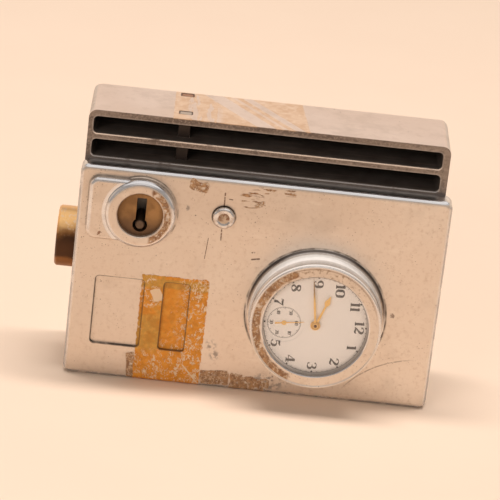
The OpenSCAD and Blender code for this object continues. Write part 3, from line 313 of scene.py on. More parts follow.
casting = Finish("cast aluminium", metallic=0.85, roughness=0.4)
c = casting
cloud = c.noise(22, 4)
grain = c.noise(0.9, 2)
brushed = c.noise(3.0, 5, stretch=(0.25, 1, 1), seed=3.1)
mottle = c.noise(1.7, 4, seed=9.3, rough=0.65)
thin = c.noise(1.6, 3, seed=12.0)
base = c.colour(c.fade(cloud, 0.35, 0.7), (0.79, 0.68, 0.585), (0.86, 0.755, 0.655))
base = c.colour(c.fade(mottle, 0.48, 0.8) * 0.8, base, (0.64, 0.515, 0.42))
duller = c.fade(c.x + (cloud - 0.5) * 60, 35, -45) * 0.3
duller = duller.at_least(c.fade(c.z + (cloud - 0.5) * 30, 50, 70) * c.fade(c.x, 55, 20) * 0.45)
base = c.colour(duller, base, (0.60, 0.49, 0.40))
base = c.colour(c.fade(brushed, 0.58, 0.8) * 0.3, base, (0.93, 0.85, 0.76))
# pits and small dark specks in the old metal
pits = (1 - c.fade(c.cells(2.6), 0.05, 0.13)) * c.fade(c.noise(9, 3, seed=7.0), 0.57, 0.68)
base = c.colour(pits * 0.75, base, (0.13, 0.09, 0.07))
specks = (1 - c.fade(c.cells(1.1, 17.0), 0.10, 0.2)) * c.fade(c.noise(6, 3, seed=19.0), 0.49, 0.64)
base = c.colour(specks * 0.6, base, (0.22, 0.13, 0.08))
stain = c.fade(c.noise(14, 4, seed=5.0), 0.56, 0.75)
base = c.colour(stain * 0.16, base, (0.42, 0.34, 0.28))
from_watch = c.reach(watch_x, watch_z)
from_lock = c.reach(lock_x, lock_z)
from_stud = c.reach(stud_x, stud_z)
in_front = 1 - c.fade(c.y, face_y + 1.4, face_y + 2.2)
on_face = in_front * c.fade(c.y, face_y - 0.3, face_y - 0.1)
# dirt and painted crease shade round the feet of the bezels and the stud and in the outlines of the panels
# and the pad, dirt along the side edges and a painted shadow along the bottom edge
foot = 1 - c.fade(abs(from_watch - bezel_foot_r - 0.15), 0.15, 0.6)
foot = foot.at_least((1 - c.fade(abs(from_lock - lock_foot_r - 0.1), 0.1, 0.4)) * 0.8)
foot = foot.at_least(1 - c.fade(abs(from_stud - stud_foot_r), 0.1, 0.4))
foot = foot * c.blend(c.fade(c.noise(5, 2, seed=6.0), 0.3, 0.6), 0.35, 0.9)
panel_a = c.panel(-56.8, 12.5, -39.2, 38.5, corner=1.5)
panel_b = c.panel(-32.4, 12.5, -23.0, 38.5, corner=1.2)
lines = (1 - c.fade(abs(panel_a), 0.08, 0.33)).at_least(1 - c.fade(abs(panel_b), 0.08, 0.33)) * in_front
pad = c.panel(-half_w + 3.6, cover_h - 26.4, lock_x, cover_h - 3.4, corner=3.6)
pad_foot = (1 - c.fade(abs(pad - 0.1), 0.1, 0.5)) * on_face
side_dirt_and_bottom_shadow = c.fade(abs(c.x), half_w - 1.1, half_w - 0.4)
# the band along the bottom edge is a painted shadow where the cover stands on the table
side_dirt_and_bottom_shadow = side_dirt_and_bottom_shadow.at_least(1 - c.fade(c.z + (cloud - 0.5) * 2, 0.5, 1.6)) * 0.8
# these darken the face with dirt, painted crease shade and the painted bottom shadow
dirt_and_painted_shade = (foot * on_face).at_least(lines * 0.9).at_least(pad_foot * 0.45).at_least(side_dirt_and_bottom_shadow * 0.75) \
    * c.fade(c.noise(4, 3, seed=2.0), 0.2, 0.55)
base = c.colour(dirt_and_painted_shade, base, (0.085, 0.06, 0.045))
# grey rubbed dirt, dark scratches and a few scars
smudge = 1 - c.fade(c.panel(3.0, 1.5, 15.0, 8.5, 0.5) + mottle * 3, 0, 3)
for smudge_x, smudge_z, full_r, gone_r in (
        (-13.5, 16.5, 1.0, 2.6), (-12.0, 12.5, 0.8, 2.4), (-27.2, 67.4, 0.5, 1.3)):
    smudge = smudge.at_least(1 - c.fade(c.reach(smudge_x, smudge_z), full_r, gone_r))
smudge = smudge * c.fade(c.noise(1.6, 3, seed=23.0), 0.46, 0.6) * on_face
base = c.colour(smudge * 0.7, base, (0.20, 0.16, 0.14))
scars = (1 - c.fade(c.reach(49.3, 34.9) + (thin - 0.5) * 3, 0.5, 1.0)) * 0.8
for scar_start, scar_end, scar_width in (
        ((-14.4, 74.6), (-14.3, 68.5), 0.45), ((-14.3, 60.8), (-14.2, 56.6), 0.45),
        ((-12.9, 72.3), (-11.4, 72.2), 0.3), ((-18.6, 57.0), (-19.2, 49.0), 0.25),
        ((-2.9, 53.2), (-1.6, 53.4), 0.5), ((-2.8, 50.6), (0.3, 51.2), 0.55)):
    scars = scars.at_least(c.stroke(scar_start, scar_end, scar_width))
arc_x, arc_z, arc_r = 62.6, -16.3, 35.1
arc = 1 - c.fade(abs(c.reach(arc_x, arc_z) - arc_r), 0.08, 0.3)
arc = arc * c.fade(c.x, 34, 38) * (1 - c.fade(c.x, 54, 60))
scars = scars.at_least(arc * 0.55) * c.fade(c.noise(0.8, 2, seed=24.0), 0.3, 0.5) * on_face
base = c.colour(scars * 0.85, base, (0.12, 0.06, 0.035))
gritty = (1 - c.fade(c.cells(0.9, 27.0), 0.14, 0.26)) * c.fade(c.noise(3, 3, seed=28.0), 0.44, 0.6) \
    * c.fade(c.x, -half_w + 22, -half_w + 8) * c.fade(c.z, 40, 52) * in_front
base = c.colour(gritty * 0.7, base, (0.17, 0.11, 0.07))
# grime on the flat ring round the glass
ring_front = 1 - c.fade(c.y, rim_y + 0.6, rim_y + 0.9)
ring_flat = (1 - c.fade(from_watch, bezel_r - 0.2, bezel_r)) * ring_front \
    * c.fade(from_watch, opening_r, opening_r + 0.2)
grime = c.fade(c.noise(1.3, 4, seed=26.0, rough=0.7), 0.5, 0.62) * c.fade(c.z - watch_z, 6, 17)
base = c.colour((grime * 0.75).at_least(0.12) * ring_flat, base, (0.30, 0.20, 0.12))
rough = c.blend(c.fade(cloud, 0.3, 0.7), 0.34, 0.46) + (grain - 0.5) * 0.12
# polished metal: bezel walls and crests, the pad's rim and the cover's rounded edges
wall = c.fade(from_watch, bezel_r - 0.1, bezel_r + 0.05) * (1 - c.fade(c.y, face_y - 0.3, face_y - 0.08)) \
    * (1 - c.fade(from_watch, bezel_foot_r + 0.4, bezel_foot_r + 0.8))
ring = c.fade(from_lock, lock_ring_r, lock_ring_r + 0.6) * (1 - c.fade(c.y, face_y - 0.5, face_y - 0.15)) \
    * (1 - c.fade(from_lock, lock_foot_r + 0.3, lock_foot_r + 0.8))
top_edge = c.fade(c.z, cover_h - 1.2, cover_h - 0.75)
strip = c.fade(c.z, cover_h - 0.12, cover_h - 0.04)
edge = top_edge.at_least((1 - c.fade(c.z, 0.9, 1.7)) * 0.6)
edge = edge.at_least(c.fade(abs(c.x), half_w - 1.4, half_w - 0.8) * 0.8)
lip = (1 - c.fade(abs(from_watch - opening_r - 0.1), 0.12, 0.3)) * (1 - c.fade(c.y, rim_y + 0.8, rim_y + 1.1))
pad_rim = (1 - c.fade(abs(pad + 0.6), 0.5, 1.0)) * (1 - c.fade(c.y, face_y - 0.3, face_y))
pad_rim = pad_rim * c.fade(c.z, 52, 60) * (1 - c.fade(from_lock, lock_foot_r, lock_foot_r - 0.3))
bead = (1 - c.fade(c.y, rim_y + 1.0, rim_y + 1.4)) * c.fade(from_watch, bezel_r - 0.3, bezel_r) \
    * c.fade(c.z, watch_z + 2, watch_z - 9)
polish = (wall * (1 - bead * 0.9)).at_least(ring).at_least(edge).at_least(lip).at_least(pad_rim * 0.85)
dull_band = c.fade(c.y, face_y - 5.5, rim_y + 1.6)
# a painted highlight band on the bezel's wall and a painted highlight along its bead line, both also made
# less metallic
painted_highlight_band = c.fade(c.y, face_y - 1.0, face_y - 2.2) * c.fade(c.y, rim_y + 4.5, rim_y + 7.0)
painted_bead_highlight = (1 - c.fade(abs(c.y - rim_y - 1.3), 0.4, 0.9)) * c.fade(c.z, watch_z - 2, watch_z + 8)
satin = wall * c.fade(c.y, face_y - 1.0, face_y - 3.0) * (1 - dull_band * 0.45) * 0.45
satin = satin.at_least(wall * painted_highlight_band.at_least(painted_bead_highlight) * 0.85)
polish_tone = c.colour(c.fade(brushed, 0.4, 0.7), (0.70, 0.69, 0.70), (0.80, 0.79, 0.79))
base = c.colour(polish * (1 - dirt_and_painted_shade * 0.8), base, polish_tone)
# the watch bezel's wall: drawn streaks with painted light over them, a highlight band, a grey reflection band
# and a highlight along the bead line, and on its upper side a painted shadow on its foot and sweep
drawn = c.noise(1.5, 4, stretch=(1, 0.05, 1), seed=81.0)
wall_tone_and_painted_light = c.colour(c.fade(drawn, 0.3, 0.7), (0.89, 0.875, 0.865), (0.98, 0.965, 0.955))
# painted highlight band
wall_tone_and_painted_light = c.colour(painted_highlight_band, wall_tone_and_painted_light, (0.99, 0.975, 0.965))
# painted grey reflection band towards the front of the wall
painted_grey_reflection = c.fade(c.y + (drawn - 0.5) * 1.5, face_y - 6.5, rim_y + 2.0)
wall_tone_and_painted_light = c.colour(painted_grey_reflection * 0.45, wall_tone_and_painted_light, (0.50, 0.46, 0.44))
# painted highlight along the bead line
wall_tone_and_painted_light = c.colour(painted_bead_highlight * 0.9, wall_tone_and_painted_light, (0.99, 0.975, 0.965))
# painted shadow on the foot and the sweep, on the upper side only
high_side = c.fade(c.z, watch_z - 4, watch_z + 8)
shaded_foot = c.fade(c.y + (drawn - 0.5) * 0.6, face_y - 2.0, face_y - 0.7) * high_side
wall_tone_and_painted_light = c.colour(shaded_foot * 0.85, wall_tone_and_painted_light, (0.19, 0.14, 0.11))
sweep = c.fade(from_watch, bezel_foot_r - 0.9, bezel_foot_r - 0.6) * high_side
wall_tone_and_painted_light = c.colour(sweep * 0.8, wall_tone_and_painted_light, (0.07, 0.05, 0.04))
base = c.colour(wall * (1 - dirt_and_painted_shade * 0.8) * (1 - bead), base, wall_tone_and_painted_light)
# a painted shadow line on the ring just inside the bead, on its upper part
painted_inner_shadow = (1 - c.fade(abs(from_watch - bezel_r + 0.35), 0.15, 0.4)) * ring_front
base = c.colour(painted_inner_shadow * c.fade(c.z, watch_z + 3, watch_z + 12) * 0.5, base, (0.30, 0.20, 0.14))
rough = c.blend(polish, rough, 0.08 + brushed * 0.14 + strip * 0.16) + wall * (drawn - 0.5) * 0.06
# brown glue left by old tape
ragged = (c.noise(3.2, 4, seed=11.0) - 0.5) * 5
island = c.noise(2.1, 3, seed=14.0)
torn = c.noise(1.2, 5, seed=71.0, rough=0.7)
islands = c.fade(island, 0.34, 0.38) * c.fade(torn, 0.36, 0.41)
swirls = c.scribble(1.6, 0.035, 72.0) * c.fade(c.noise(3.0, 2, seed=73.0), 0.42, 0.5)
round_watch = c.fade(from_watch + ragged * 0.35, 19.6, 20.0) * ring_flat \
    * (1 - c.fade(c.x - watch_x + ragged * 0.8, -8.4, -7.0))
streaks = c.fade(c.noise(1.8, 4, stretch=(0.35, 1, 1.8), seed=21.0), 0.5, 0.54)
patch = (1 - c.fade(c.panel(-8.5, 69.5, -0.5, 76.2, 0.3) + ragged * 0.4, -0.6, 0.4)) * streaks
top_patch = c.panel(-3.5, 75.4, 10.5, 78.2, 0.02)
patch = patch.at_least((1 - c.fade(top_patch, -0.8, 0.3)) * c.fade(streaks, 0, 0.6))
for corners_and_turn, uneven, full in (
        ((-16.0, 1.3, -6.1, 6.6, 0.08), 0.3, -0.1), ((-5.4, -0.5, 8.5, 5.8, -0.12), 0.6, -0.1),
        ((-27.0, 74.2, -20.6, 77.8, -0.25), 0.55, -0.1), ((-43.0, 0.6, -40.0, 10.5, 0.1), 0.2, -0.2)):
    patch = patch.at_least(1 - c.fade(c.panel(*corners_and_turn) + ragged * uneven, full, 0.2))
patch = patch * on_face
ring_r = 9.7
beside_lock = 1 - c.fade(abs(from_lock - ring_r) + ragged * 0.25, 0.9, 1.2)
beside_lock = beside_lock * c.fade(c.x - lock_x + ragged * 0.4, 3.2, 4.2) \
    * (1 - c.fade(c.y, face_y - 2, face_y - 1))
glue = round_watch.at_least(patch).at_least(beside_lock) * islands
glue_rim = glue * (1 - c.fade(island, 0.38, 0.42)).at_least(swirls)
glue_tone = c.colour(c.fade(thin, 0.3, 0.7), (0.25, 0.11, 0.042), (0.50, 0.27, 0.12))
glue_tone = c.colour(c.fade(torn, 0.55, 0.7) * 0.6, glue_tone, (0.17, 0.075, 0.03))
glue_tone = c.colour(glue_rim * 0.7, glue_tone, (0.72, 0.55, 0.38))
base = c.colour(glue * 0.95, base, glue_tone)
spots = (1 - c.fade(c.reach(-56.6, 55.4) + (thin - 0.5) * 3, 0.7, 1.2)) * c.fade(mottle, 0.5, 0.6)
base = c.colour(spots * 0.8, base, (0.20, 0.08, 0.03))
# orange paint over the right panel, worn through in flecks and scribbles
ragged_edge = (c.noise(1.4, 3, seed=31.0) - 0.5) * 1.5
orange = 1 - c.fade(c.panel(-40.3, 0.0, -16.6, 40.8, 0.0) + ragged_edge, -0.12, 0.2)
orange = orange * (1 - c.fade(c.y, face_y + 1.2, face_y + 1.6))
busy = c.fade(c.x + ragged, -28.0, -23.5).at_least(1 - c.fade(c.z, 9.0, 13.5))
busy = busy.at_least(c.fade(c.noise(8, 2, seed=42.0), 0.5, 0.6))
worn = c.fade(c.noise(1.5, 5, stretch=(1, 1, 0.8), seed=41.0, rough=0.7), 0.58, 0.61) * busy
curls = c.scribble(1.15, 0.045, 44.0, (1, 1, 0.7)) * busy * c.fade(c.noise(1.8, 2, seed=45.0), 0.48, 0.54)
worn = worn.at_least(curls).at_least(c.stroke((-23.0, 7.6), (-16.9, 0.9), 0.5))
worn = worn.at_least(1 - c.fade(c.panel(-36.2, 31.0, -32.8, 35.5, 0.4) + ragged * 0.4, -0.1, 0.2))
ochre = c.fade(c.x + (c.noise(5, 3, seed=43.0) - 0.5) * 5, -31.8, -33.0) * c.fade(c.z, 9.0, 14.0) \
    * c.fade(c.noise(9, 2, seed=47.0), 0.38, 0.48)
ochre = ochre.at_least(c.fade(c.z + ragged_edge, 35.6, 36.4) * (1 - c.fade(c.z + ragged_edge, 39.2, 40.0)))
paint = c.colour(ochre, (0.75, 0.28, 0.022), (0.57, 0.30, 0.055))
paint = c.colour(c.fade(thin, 0.4, 0.65) * 0.4, paint, (0.86, 0.42, 0.07))
paint = c.colour(c.fade(mottle, 0.5, 0.75) * 0.6, paint, (0.46, 0.16, 0.014))
paint = c.colour(c.fade(c.noise(4.5, 4, seed=48.0, rough=0.6), 0.5, 0.64) * 0.45, paint, (0.52, 0.19, 0.012))
paint = c.colour(worn * 0.9, paint, (0.86, 0.66, 0.46))
# dirt and painted crease shade in the panels' outlines
paint = c.colour(lines * 0.7, paint, (0.12, 0.07, 0.035))
base = c.colour(orange, base, paint)
cover_up = orange.at_least(glue)
rough = c.blend(cover_up, rough, 0.6)
# fine scratches, catching the light
scratch = c.fade(c.noise(2.5, 2, stretch=(0.06, 1, 1.4), seed=51.0), 0.66, 0.7) \
    .at_least(c.fade(c.noise(2.5, 2, stretch=(1.2, 1, 0.05), seed=52.0), 0.69, 0.72))
height = (grain * 0.3 + c.noise(4, 3, seed=61.0) * 0.5 - pits * 1.2 - scratch * 0.25) * (1 - polish * 0.85) \
    + cover_up * 1.4 + worn * orange * -0.9 - scars * 1.2
bare_metal = c.blend(polish, 0.86, 1.0) - satin
hidden = cover_up.at_least(dirt_and_painted_shade * 0.8).at_least(smudge * 0.5)
casting_relief = 0.00006
c.set(Base_Color=base, Roughness=rough, Metallic=c.blend(hidden, bare_metal, 0.02),
      Normal=c.bump(height, casting_relief))
c.wear("front_cover")
smooth("front_cover", angle=24)

# Rear frame: the deeper casting behind the cover, with the two slots for the bag's bars.
# It is left as cast and wiped down, dark with handling on the slotted face and with a painted
# dark reflection under the lower slot, sooty and darkened with painted shade in the slots, worn
# bright along their edges with a painted highlight on them, and filmed with old adhesive on top.
frame_low, frame_high = box_mm("rear_frame")
frame_top, joint_y = frame_high[2], frame_low[1]
slot_h, slot_w, slot_corner, slot_web, slot_side, above_slot = 6.3, 123.2, 1.6, 2.1, 1.8, 2.2
slot_x0 = frame_low[0] + slot_side
slot_x1 = slot_x0 + slot_w
upper_slot_z = frame_top - above_slot - slot_h
lower_slot_z = upper_slot_z - slot_web - slot_h

body = Finish("rear casting", metallic=0.85, roughness=0.45)
c = body
cloud = c.noise(26, 4, seed=2.0)
grain = c.noise(1.1, 3, seed=1.0)
fine = c.noise(0.7, 3, seed=5.0)
streaky = c.noise(2.0, 4, stretch=(0.08, 1, 1), seed=6.0)
base = c.colour(c.fade(cloud, 0.35, 0.7), (0.83, 0.69, 0.615), (0.93, 0.785, 0.70))
base = c.colour(c.fade(c.noise(3.5, 4, seed=8.0), 0.5, 0.8) * 0.35, base, (0.66, 0.53, 0.45))
base = c.colour(c.fade(c.noise(11, 5, seed=38.0, rough=0.65), 0.48, 0.66) * 0.45, base, (0.70, 0.575, 0.50))
# stains, rubs and fine scratches on the back and sides
behind = c.fade(c.y, joint_y + 0.6, joint_y + 1.6) * (1 - c.fade(c.z, frame_top - 0.7, frame_top - 0.2))
grey_metal = c.colour(c.fade(cloud, 0.35, 0.7), (0.68, 0.635, 0.60), (0.79, 0.745, 0.71))
base = c.colour(behind * 0.8, base, grey_metal)
stain = c.fade(c.noise(19, 5, seed=33.0, rough=0.6), 0.5, 0.68)
base = c.colour(stain * behind * 0.35, base, (0.40, 0.31, 0.25))
rubbed = c.fade(c.noise(7, 5, stretch=(0.3, 1, 1), seed=34.0, rough=0.65), 0.54, 0.64)
base = c.colour(rubbed * behind * 0.4, base, (0.86, 0.80, 0.75))
cuts = c.fade(c.noise(1.3, 1, stretch=(0.035, 1, 1), seed=35.0), 0.70, 0.73) \
    .at_least(c.fade(c.noise(1.2, 1, stretch=(1, 1, 0.04), seed=36.0), 0.72, 0.75))
nicks = c.fade(c.noise(1.6, 4, seed=39.0, rough=0.7), 0.66, 0.70)
nicks = nicks * c.fade(c.noise(12, 3, seed=40.0), 0.48, 0.6)
base = c.colour(cuts * behind * 0.5, base, (0.30, 0.24, 0.20))
base = c.colour(nicks * behind * 0.55, base, (0.20, 0.14, 0.11))
front_face = 1 - c.fade(c.y, joint_y + 0.05, joint_y + 0.5)
upper = c.panel(slot_x0, upper_slot_z, slot_x1, upper_slot_z + slot_h, corner=slot_corner)
lower = c.panel(slot_x0, lower_slot_z, slot_x1, lower_slot_z + slot_h, corner=slot_corner)
near_slot = upper.at_most(lower)
in_slots = c.fade(c.y, joint_y + 0.1, joint_y + 1.0) * (1 - c.fade(near_slot, 0.05, 0.2)) \
    * (1 - c.fade(c.y, frame_high[1] - 1.8, frame_high[1] - 1.2))
handled = c.colour(c.fade(streaky, 0.35, 0.65), (0.115, 0.08, 0.06), (0.24, 0.185, 0.15))
handled = c.colour(c.fade(c.x, 5, 62) * 0.45, handled, (0.40, 0.32, 0.26))
handled = c.colour(c.fade(fine, 0.48, 0.64) * 0.55, handled, (0.40, 0.31, 0.25))
handled = c.colour(c.fade(grain, 0.52, 0.66) * 0.5, handled, (0.07, 0.045, 0.035))
# painted dark reflection on the face under the lower slot
handled = c.colour(c.fade(c.z, lower_slot_z + 0.2, lower_slot_z - 0.2) * 0.6, handled, (0.09, 0.075, 0.07))
base = c.colour(front_face * 0.94, base, handled)
# edges of the slots, worn bright where the bars slide over them and painted lighter as a highlight, most
# along the edges under each slot
below = 1 - c.fade(c.z, upper_slot_z + 0.2, upper_slot_z + 1.2)
below = below * c.fade(c.z, upper_slot_z - 1.2, upper_slot_z - 0.8)
below = below.at_least(1 - c.fade(c.z, lower_slot_z + 0.2, lower_slot_z + 1.2))
worn_and_lit_edge = (1 - c.fade(abs(near_slot - 0.15), 0.2, 0.35)) * front_face * (below * 0.8 + 0.2) \
    * c.fade(c.noise(5, 3, seed=17.0), 0.25, 0.45)
base = c.colour(worn_and_lit_edge * 0.9, base, (0.76, 0.72, 0.69))
# soot in the slots, with painted shade darkening them inside
soot_and_shade = in_slots * c.blend(c.noise(7, 3, seed=4.0), 0.8, 1.0)
soot_and_shade_tone = c.colour(c.fade(streaky, 0.5, 0.7), (0.042, 0.025, 0.017), (0.105, 0.07, 0.052))
base = c.colour(soot_and_shade, base, soot_and_shade_tone)
pits = (1 - c.fade(c.cells(3.0, 4.0), 0.05, 0.12)) * c.fade(c.noise(10, 3, seed=9.0), 0.57, 0.66)
base = c.colour(pits * 0.6, base, (0.2, 0.15, 0.12))
# tan film on the top face, with pale slanting bands and strokes rubbed through it
on_top = c.fade(c.z, frame_top - 0.3, frame_top - 0.1)
ragged = (c.noise(3.0, 4, seed=11.0) - 0.5) * 3
film = c.fade(c.x + ragged * 0.15, -35.6, -35.1) \
    * (1 - c.fade(c.x + (c.y - 5) * 0.094 + ragged * 0.15, 11.1, 11.6)) * on_top
slant = c.x + (c.y - 2) * 0.66 + ragged * 0.25
bands = (1 - c.fade(abs(slant + 11.5), 3.0, 3.8)).at_least(1 - c.fade(abs(slant - 0.5), 1.4, 2.2))
bands = bands.at_least((1 - c.fade(abs(slant + 4.5), 0.5, 1.1)) * 0.6)
rubs = c.fade(c.noise(2.6, 3, stretch=(1, 0.16, 1), seed=13.0), 0.5, 0.56)
rubs = rubs * (1 - c.fade(c.x + ragged, -21, -17)) * c.fade(c.x, -31.5, -29.5)
film = film * (1 - bands * 0.88) * (1 - rubs * 0.7)
film_tone = c.colour(c.fade(c.noise(4, 4, seed=12.0), 0.35, 0.65), (0.57, 0.345, 0.19), (0.68, 0.46, 0.30))
film_tone = c.colour(c.fade(c.noise(2.2, 4, seed=37.0), 0.52, 0.62) * 0.4, film_tone, (0.78, 0.60, 0.46))
base = c.colour(film * 0.82, base, film_tone)
# painted shade in the rims of the two openings that the bolts stand in
rims = []
for bolt in ("front_bolt", "rear_bolt"):
    low, high = box_mm(bolt)
    rims.append(c.rectangle(c.x - (low[0] + high[0]) / 2, c.y - (low[1] + high[1]) / 2,
                            high[0] - low[0], high[1] - low[1], 0.2))
gap = (1 - c.fade(rims[0].at_most(rims[1]), 0.35, 0.65)) * on_top
base = c.colour(gap * 0.9, base, (0.08, 0.05, 0.04))
rough = c.blend(c.fade(cloud, 0.3, 0.7), 0.40, 0.54) + (grain - 0.5) * 0.14 - rubbed * behind * 0.1
rough = c.blend(film.at_least(soot_and_shade).at_least(gap), rough, 0.62)
rough = c.blend(worn_and_lit_edge, rough, 0.25)
height = grain * 0.35 + c.noise(5, 3, seed=15.0) * 0.6 - pits + film * 0.6 - cuts * behind * 0.5
hidden = (film * 0.8).at_least(soot_and_shade).at_least(gap)
hidden = hidden.at_least(front_face * (1 - worn_and_lit_edge) * 0.6)
c.set(Base_Color=base, Roughness=rough, Metallic=c.blend(hidden, 0.8, 0.05),
      Normal=c.bump(height, casting_relief))
c.wear("rear_frame")
smooth("rear_frame", angle=24)

# Stud: the head of a pin riveted through the cover, turned with a round shoulder and a
# shallow dish, its shoulder rubbed bright, its dish brown with old polish and a painted
# contact shadow round its foot.
rivet = Finish("stud metal", metallic=0.9, roughness=0.35)
c = rivet
from_stud = c.reach(stud_x, stud_z)
rubbed = c.noise(1.6, 4, seed=3.0)
dish = 1 - c.fade(from_stud, 1.7, 2.2)
foot = c.fade(c.y, stud_low[1] + 1.2, stud_low[1] + 1.9)
stain = dish * c.fade(c.noise(1.5, 3, seed=5.0) - (c.z - stud_z) * 0.02, 0.46, 0.56)
stain = stain * c.fade(c.z, stud_z - 1.4, stud_z - 0.4)
base = c.colour(c.fade(rubbed, 0.42, 0.62), (0.58, 0.47, 0.37), (0.36, 0.26, 0.18))
shoulder = c.colour(c.fade(rubbed, 0.4, 0.6), (0.76, 0.73, 0.71), (0.56, 0.50, 0.46))
base = c.colour((1 - dish) * (1 - foot), base, shoulder)
base = c.colour(stain, base, (0.26, 0.125, 0.06))
# painted contact shadow round the foot, where the stud meets the cover
base = c.colour(foot * 0.85, base, (0.14, 0.10, 0.08))
c.set(Base_Color=base, Roughness=c.blend(dish, 0.16, 0.42) + (rubbed - 0.5) * 0.1,
      Metallic=c.blend(stain, 0.92, 0.1), Normal=c.bump(rubbed * (dish + 0.2), 0.00008))
c.wear("cover_stud")
smooth("cover_stud", angle=40)

# Lock plate and key pin: a brown brass disc set deep in the lock bezel, darkened with painted
# shade towards its foot and its rim, with an open keyhole and a thin round pin that the key's
# barrel fits over.
dull_brass = Finish("brown brass", metallic=0.7, roughness=0.5)
c = dull_brass
from_lock = c.reach(lock_x, lock_z)
cloud = c.noise(5, 4, seed=2.0)
base = c.colour(c.fade(cloud + (c.x - lock_x) * 0.012, 0.35, 0.7), (0.25, 0.135, 0.055), (0.44, 0.245, 0.10))
# painted shade towards the disc's foot
base = c.colour(c.fade(c.z, lock_z + 1.0, lock_z - 6.5) * 0.85, base, (0.15, 0.085, 0.05))
# painted shade towards the disc's rim, under the bezel
base = c.colour(c.fade(from_lock, 6.4, 8.4) * 0.6, base, (0.13, 0.07, 0.035))
c.set(Base_Color=base, Roughness=c.blend(cloud, 0.42, 0.62), Normal=c.bump(c.noise(0.8, 3), 0.00004))
c.wear("lock_plate")
pin_steel = Finish("brown pin", metallic=0.6, roughness=0.55)
c = pin_steel
c.set(Base_Color=c.colour(c.noise(1.0, 3), (0.10, 0.062, 0.04), (0.20, 0.13, 0.085)))
c.wear("key_pin")
smooth("lock_plate", "key_pin", angle=35)

# Push knob: a turned brass cylinder with a bevelled rim, with rubbed patches and a painted
# highlight along its top, a painted dark reflection round its middle and warm brown below.
knob_low, knob_high = box_mm("push_knob")
knob_z = (knob_low[2] + knob_high[2]) / 2
knob_brass = Finish("knob brass", metallic=0.9, roughness=0.35)
c = knob_brass
turning = c.noise(0.5, 2, stretch=(1, 0.02, 0.02), seed=4.0)
cloud = c.noise(4, 4, seed=6.0)
rise = c.z - knob_z + (cloud - 0.5) * 5
# painted highlight along the top
base = c.colour(c.fade(rise, 4.0, 8.5), (0.33, 0.145, 0.05), (0.86, 0.52, 0.22))
# painted dark reflection round the middle
base = c.colour((1 - c.fade(abs(rise + 0.2), 3.0, 5.6)) * 0.94, base, (0.075, 0.036, 0.02))
# rubbed patches, within the painted highlight along the top
rubbed = c.fade(c.noise(1.1, 3, seed=9.0), 0.55, 0.65) * c.fade(rise, 3.0, 7.0)
base = c.colour(rubbed * 0.6, base, (0.80, 0.58, 0.40))
aged = 1 - c.fade(rise, 3.0, 9.0)
c.set(Base_Color=base, Roughness=c.blend(aged, 0.24, 0.42) + turning * 0.1,
      Normal=c.bump(turning * 0.5 + cloud * 0.4, 0.00004))
c.wear("push_knob")
smooth("push_knob", angle=30)

# Bolts: two flat steel bars across the slots, sooty and darkened with painted shade on their
# sides, where they stand in the slots, and rubbed bright on their tips. The rear one is rusted red.
def bolt_finish(name, soot_and_shade_tone, low_tone, high_tone, metallic):
    finish = Finish(name, metallic=metallic, roughness=0.45)
    drawn = finish.noise(1.2, 3, stretch=(1, 1, 0.08), seed=2.0)
    flakes = finish.noise(1.5, 5, seed=3.0)
    tip = finish.fade(finish.z, frame_top - 0.9, frame_top - 0.4)
    # soot and painted shade on the sides, below the tip
    tone = finish.colour(tip, soot_and_shade_tone, finish.colour(flakes, low_tone, high_tone))
    tone = finish.colour(finish.fade(drawn, 0.5, 0.75) * (1 - tip) * 0.35, tone, (0.17, 0.14, 0.12))
    finish.set(Base_Color=tone, Roughness=finish.blend(tip, 0.6, 0.36) + (flakes - 0.5) * 0.2,
               Normal=finish.bump(drawn * 0.5 + flakes * 0.5, 0.00004))
    return finish


worn_steel = bolt_finish("worn bolt", (0.075, 0.055, 0.045), (0.42, 0.36, 0.31), (0.66, 0.58, 0.52), 0.75)
worn_steel.wear("front_bolt")
rusted_steel = bolt_finish("rusted bolt", (0.06, 0.04, 0.03), (0.20, 0.075, 0.035), (0.40, 0.20, 0.12), 0.3)
rusted_steel.wear("rear_bolt")

# Steel inside the case: lock case and bolt, screws, rod, levers and hard watch parts. They
# are drawn or filed steel, screwed or pinned in place, grey with a few brown spots.
grey_steel = Finish("worn steel", metallic=0.85, roughness=0.42)
c = grey_steel
drawn = c.noise(1.2, 3, stretch=(1, 1, 0.08), seed=2.0)
spots = c.fade(c.noise(3.2, 4, seed=8.0), 0.56, 0.7)
base = c.colour(drawn, (0.30, 0.28, 0.26), (0.46, 0.43, 0.40))
base = c.colour(spots * 0.5, base, (0.20, 0.12, 0.08))
c.set(Base_Color=base, Roughness=0.34 + drawn * 0.2 + spots * 0.15, Normal=c.bump(drawn, 0.00003))
c.wear("case_screws", "lock_case", "lock_screws", "lock_bolt", "knob_rod", "wheel_post",
       "stop_lever", "lever_post", "ring_screws", "ratchet_wheel", "escape_wheel", "pallet_fork")

# Brass inside the case: carriage, double wheel, lock levers and knob bush. They are milled
# from brass and left dull, with the marks of the cutter and some brown tarnish.
mill_brass = Finish("milled brass", metallic=0.9, roughness=0.4)
c = mill_brass
milled = c.noise(0.9, 2, stretch=(0.1, 1, 1), seed=5.0)
tarnish = c.fade(c.noise(8, 4, seed=7.0), 0.45, 0.7)
c.set(Base_Color=c.colour(tarnish, (0.62, 0.46, 0.22), (0.40, 0.27, 0.12)), Roughness=0.32 + tarnish * 0.2,
      Normal=c.bump(milled, 0.00003))
c.wear("bolt_carriage", "transfer_wheel", "lock_levers", "knob_bush")

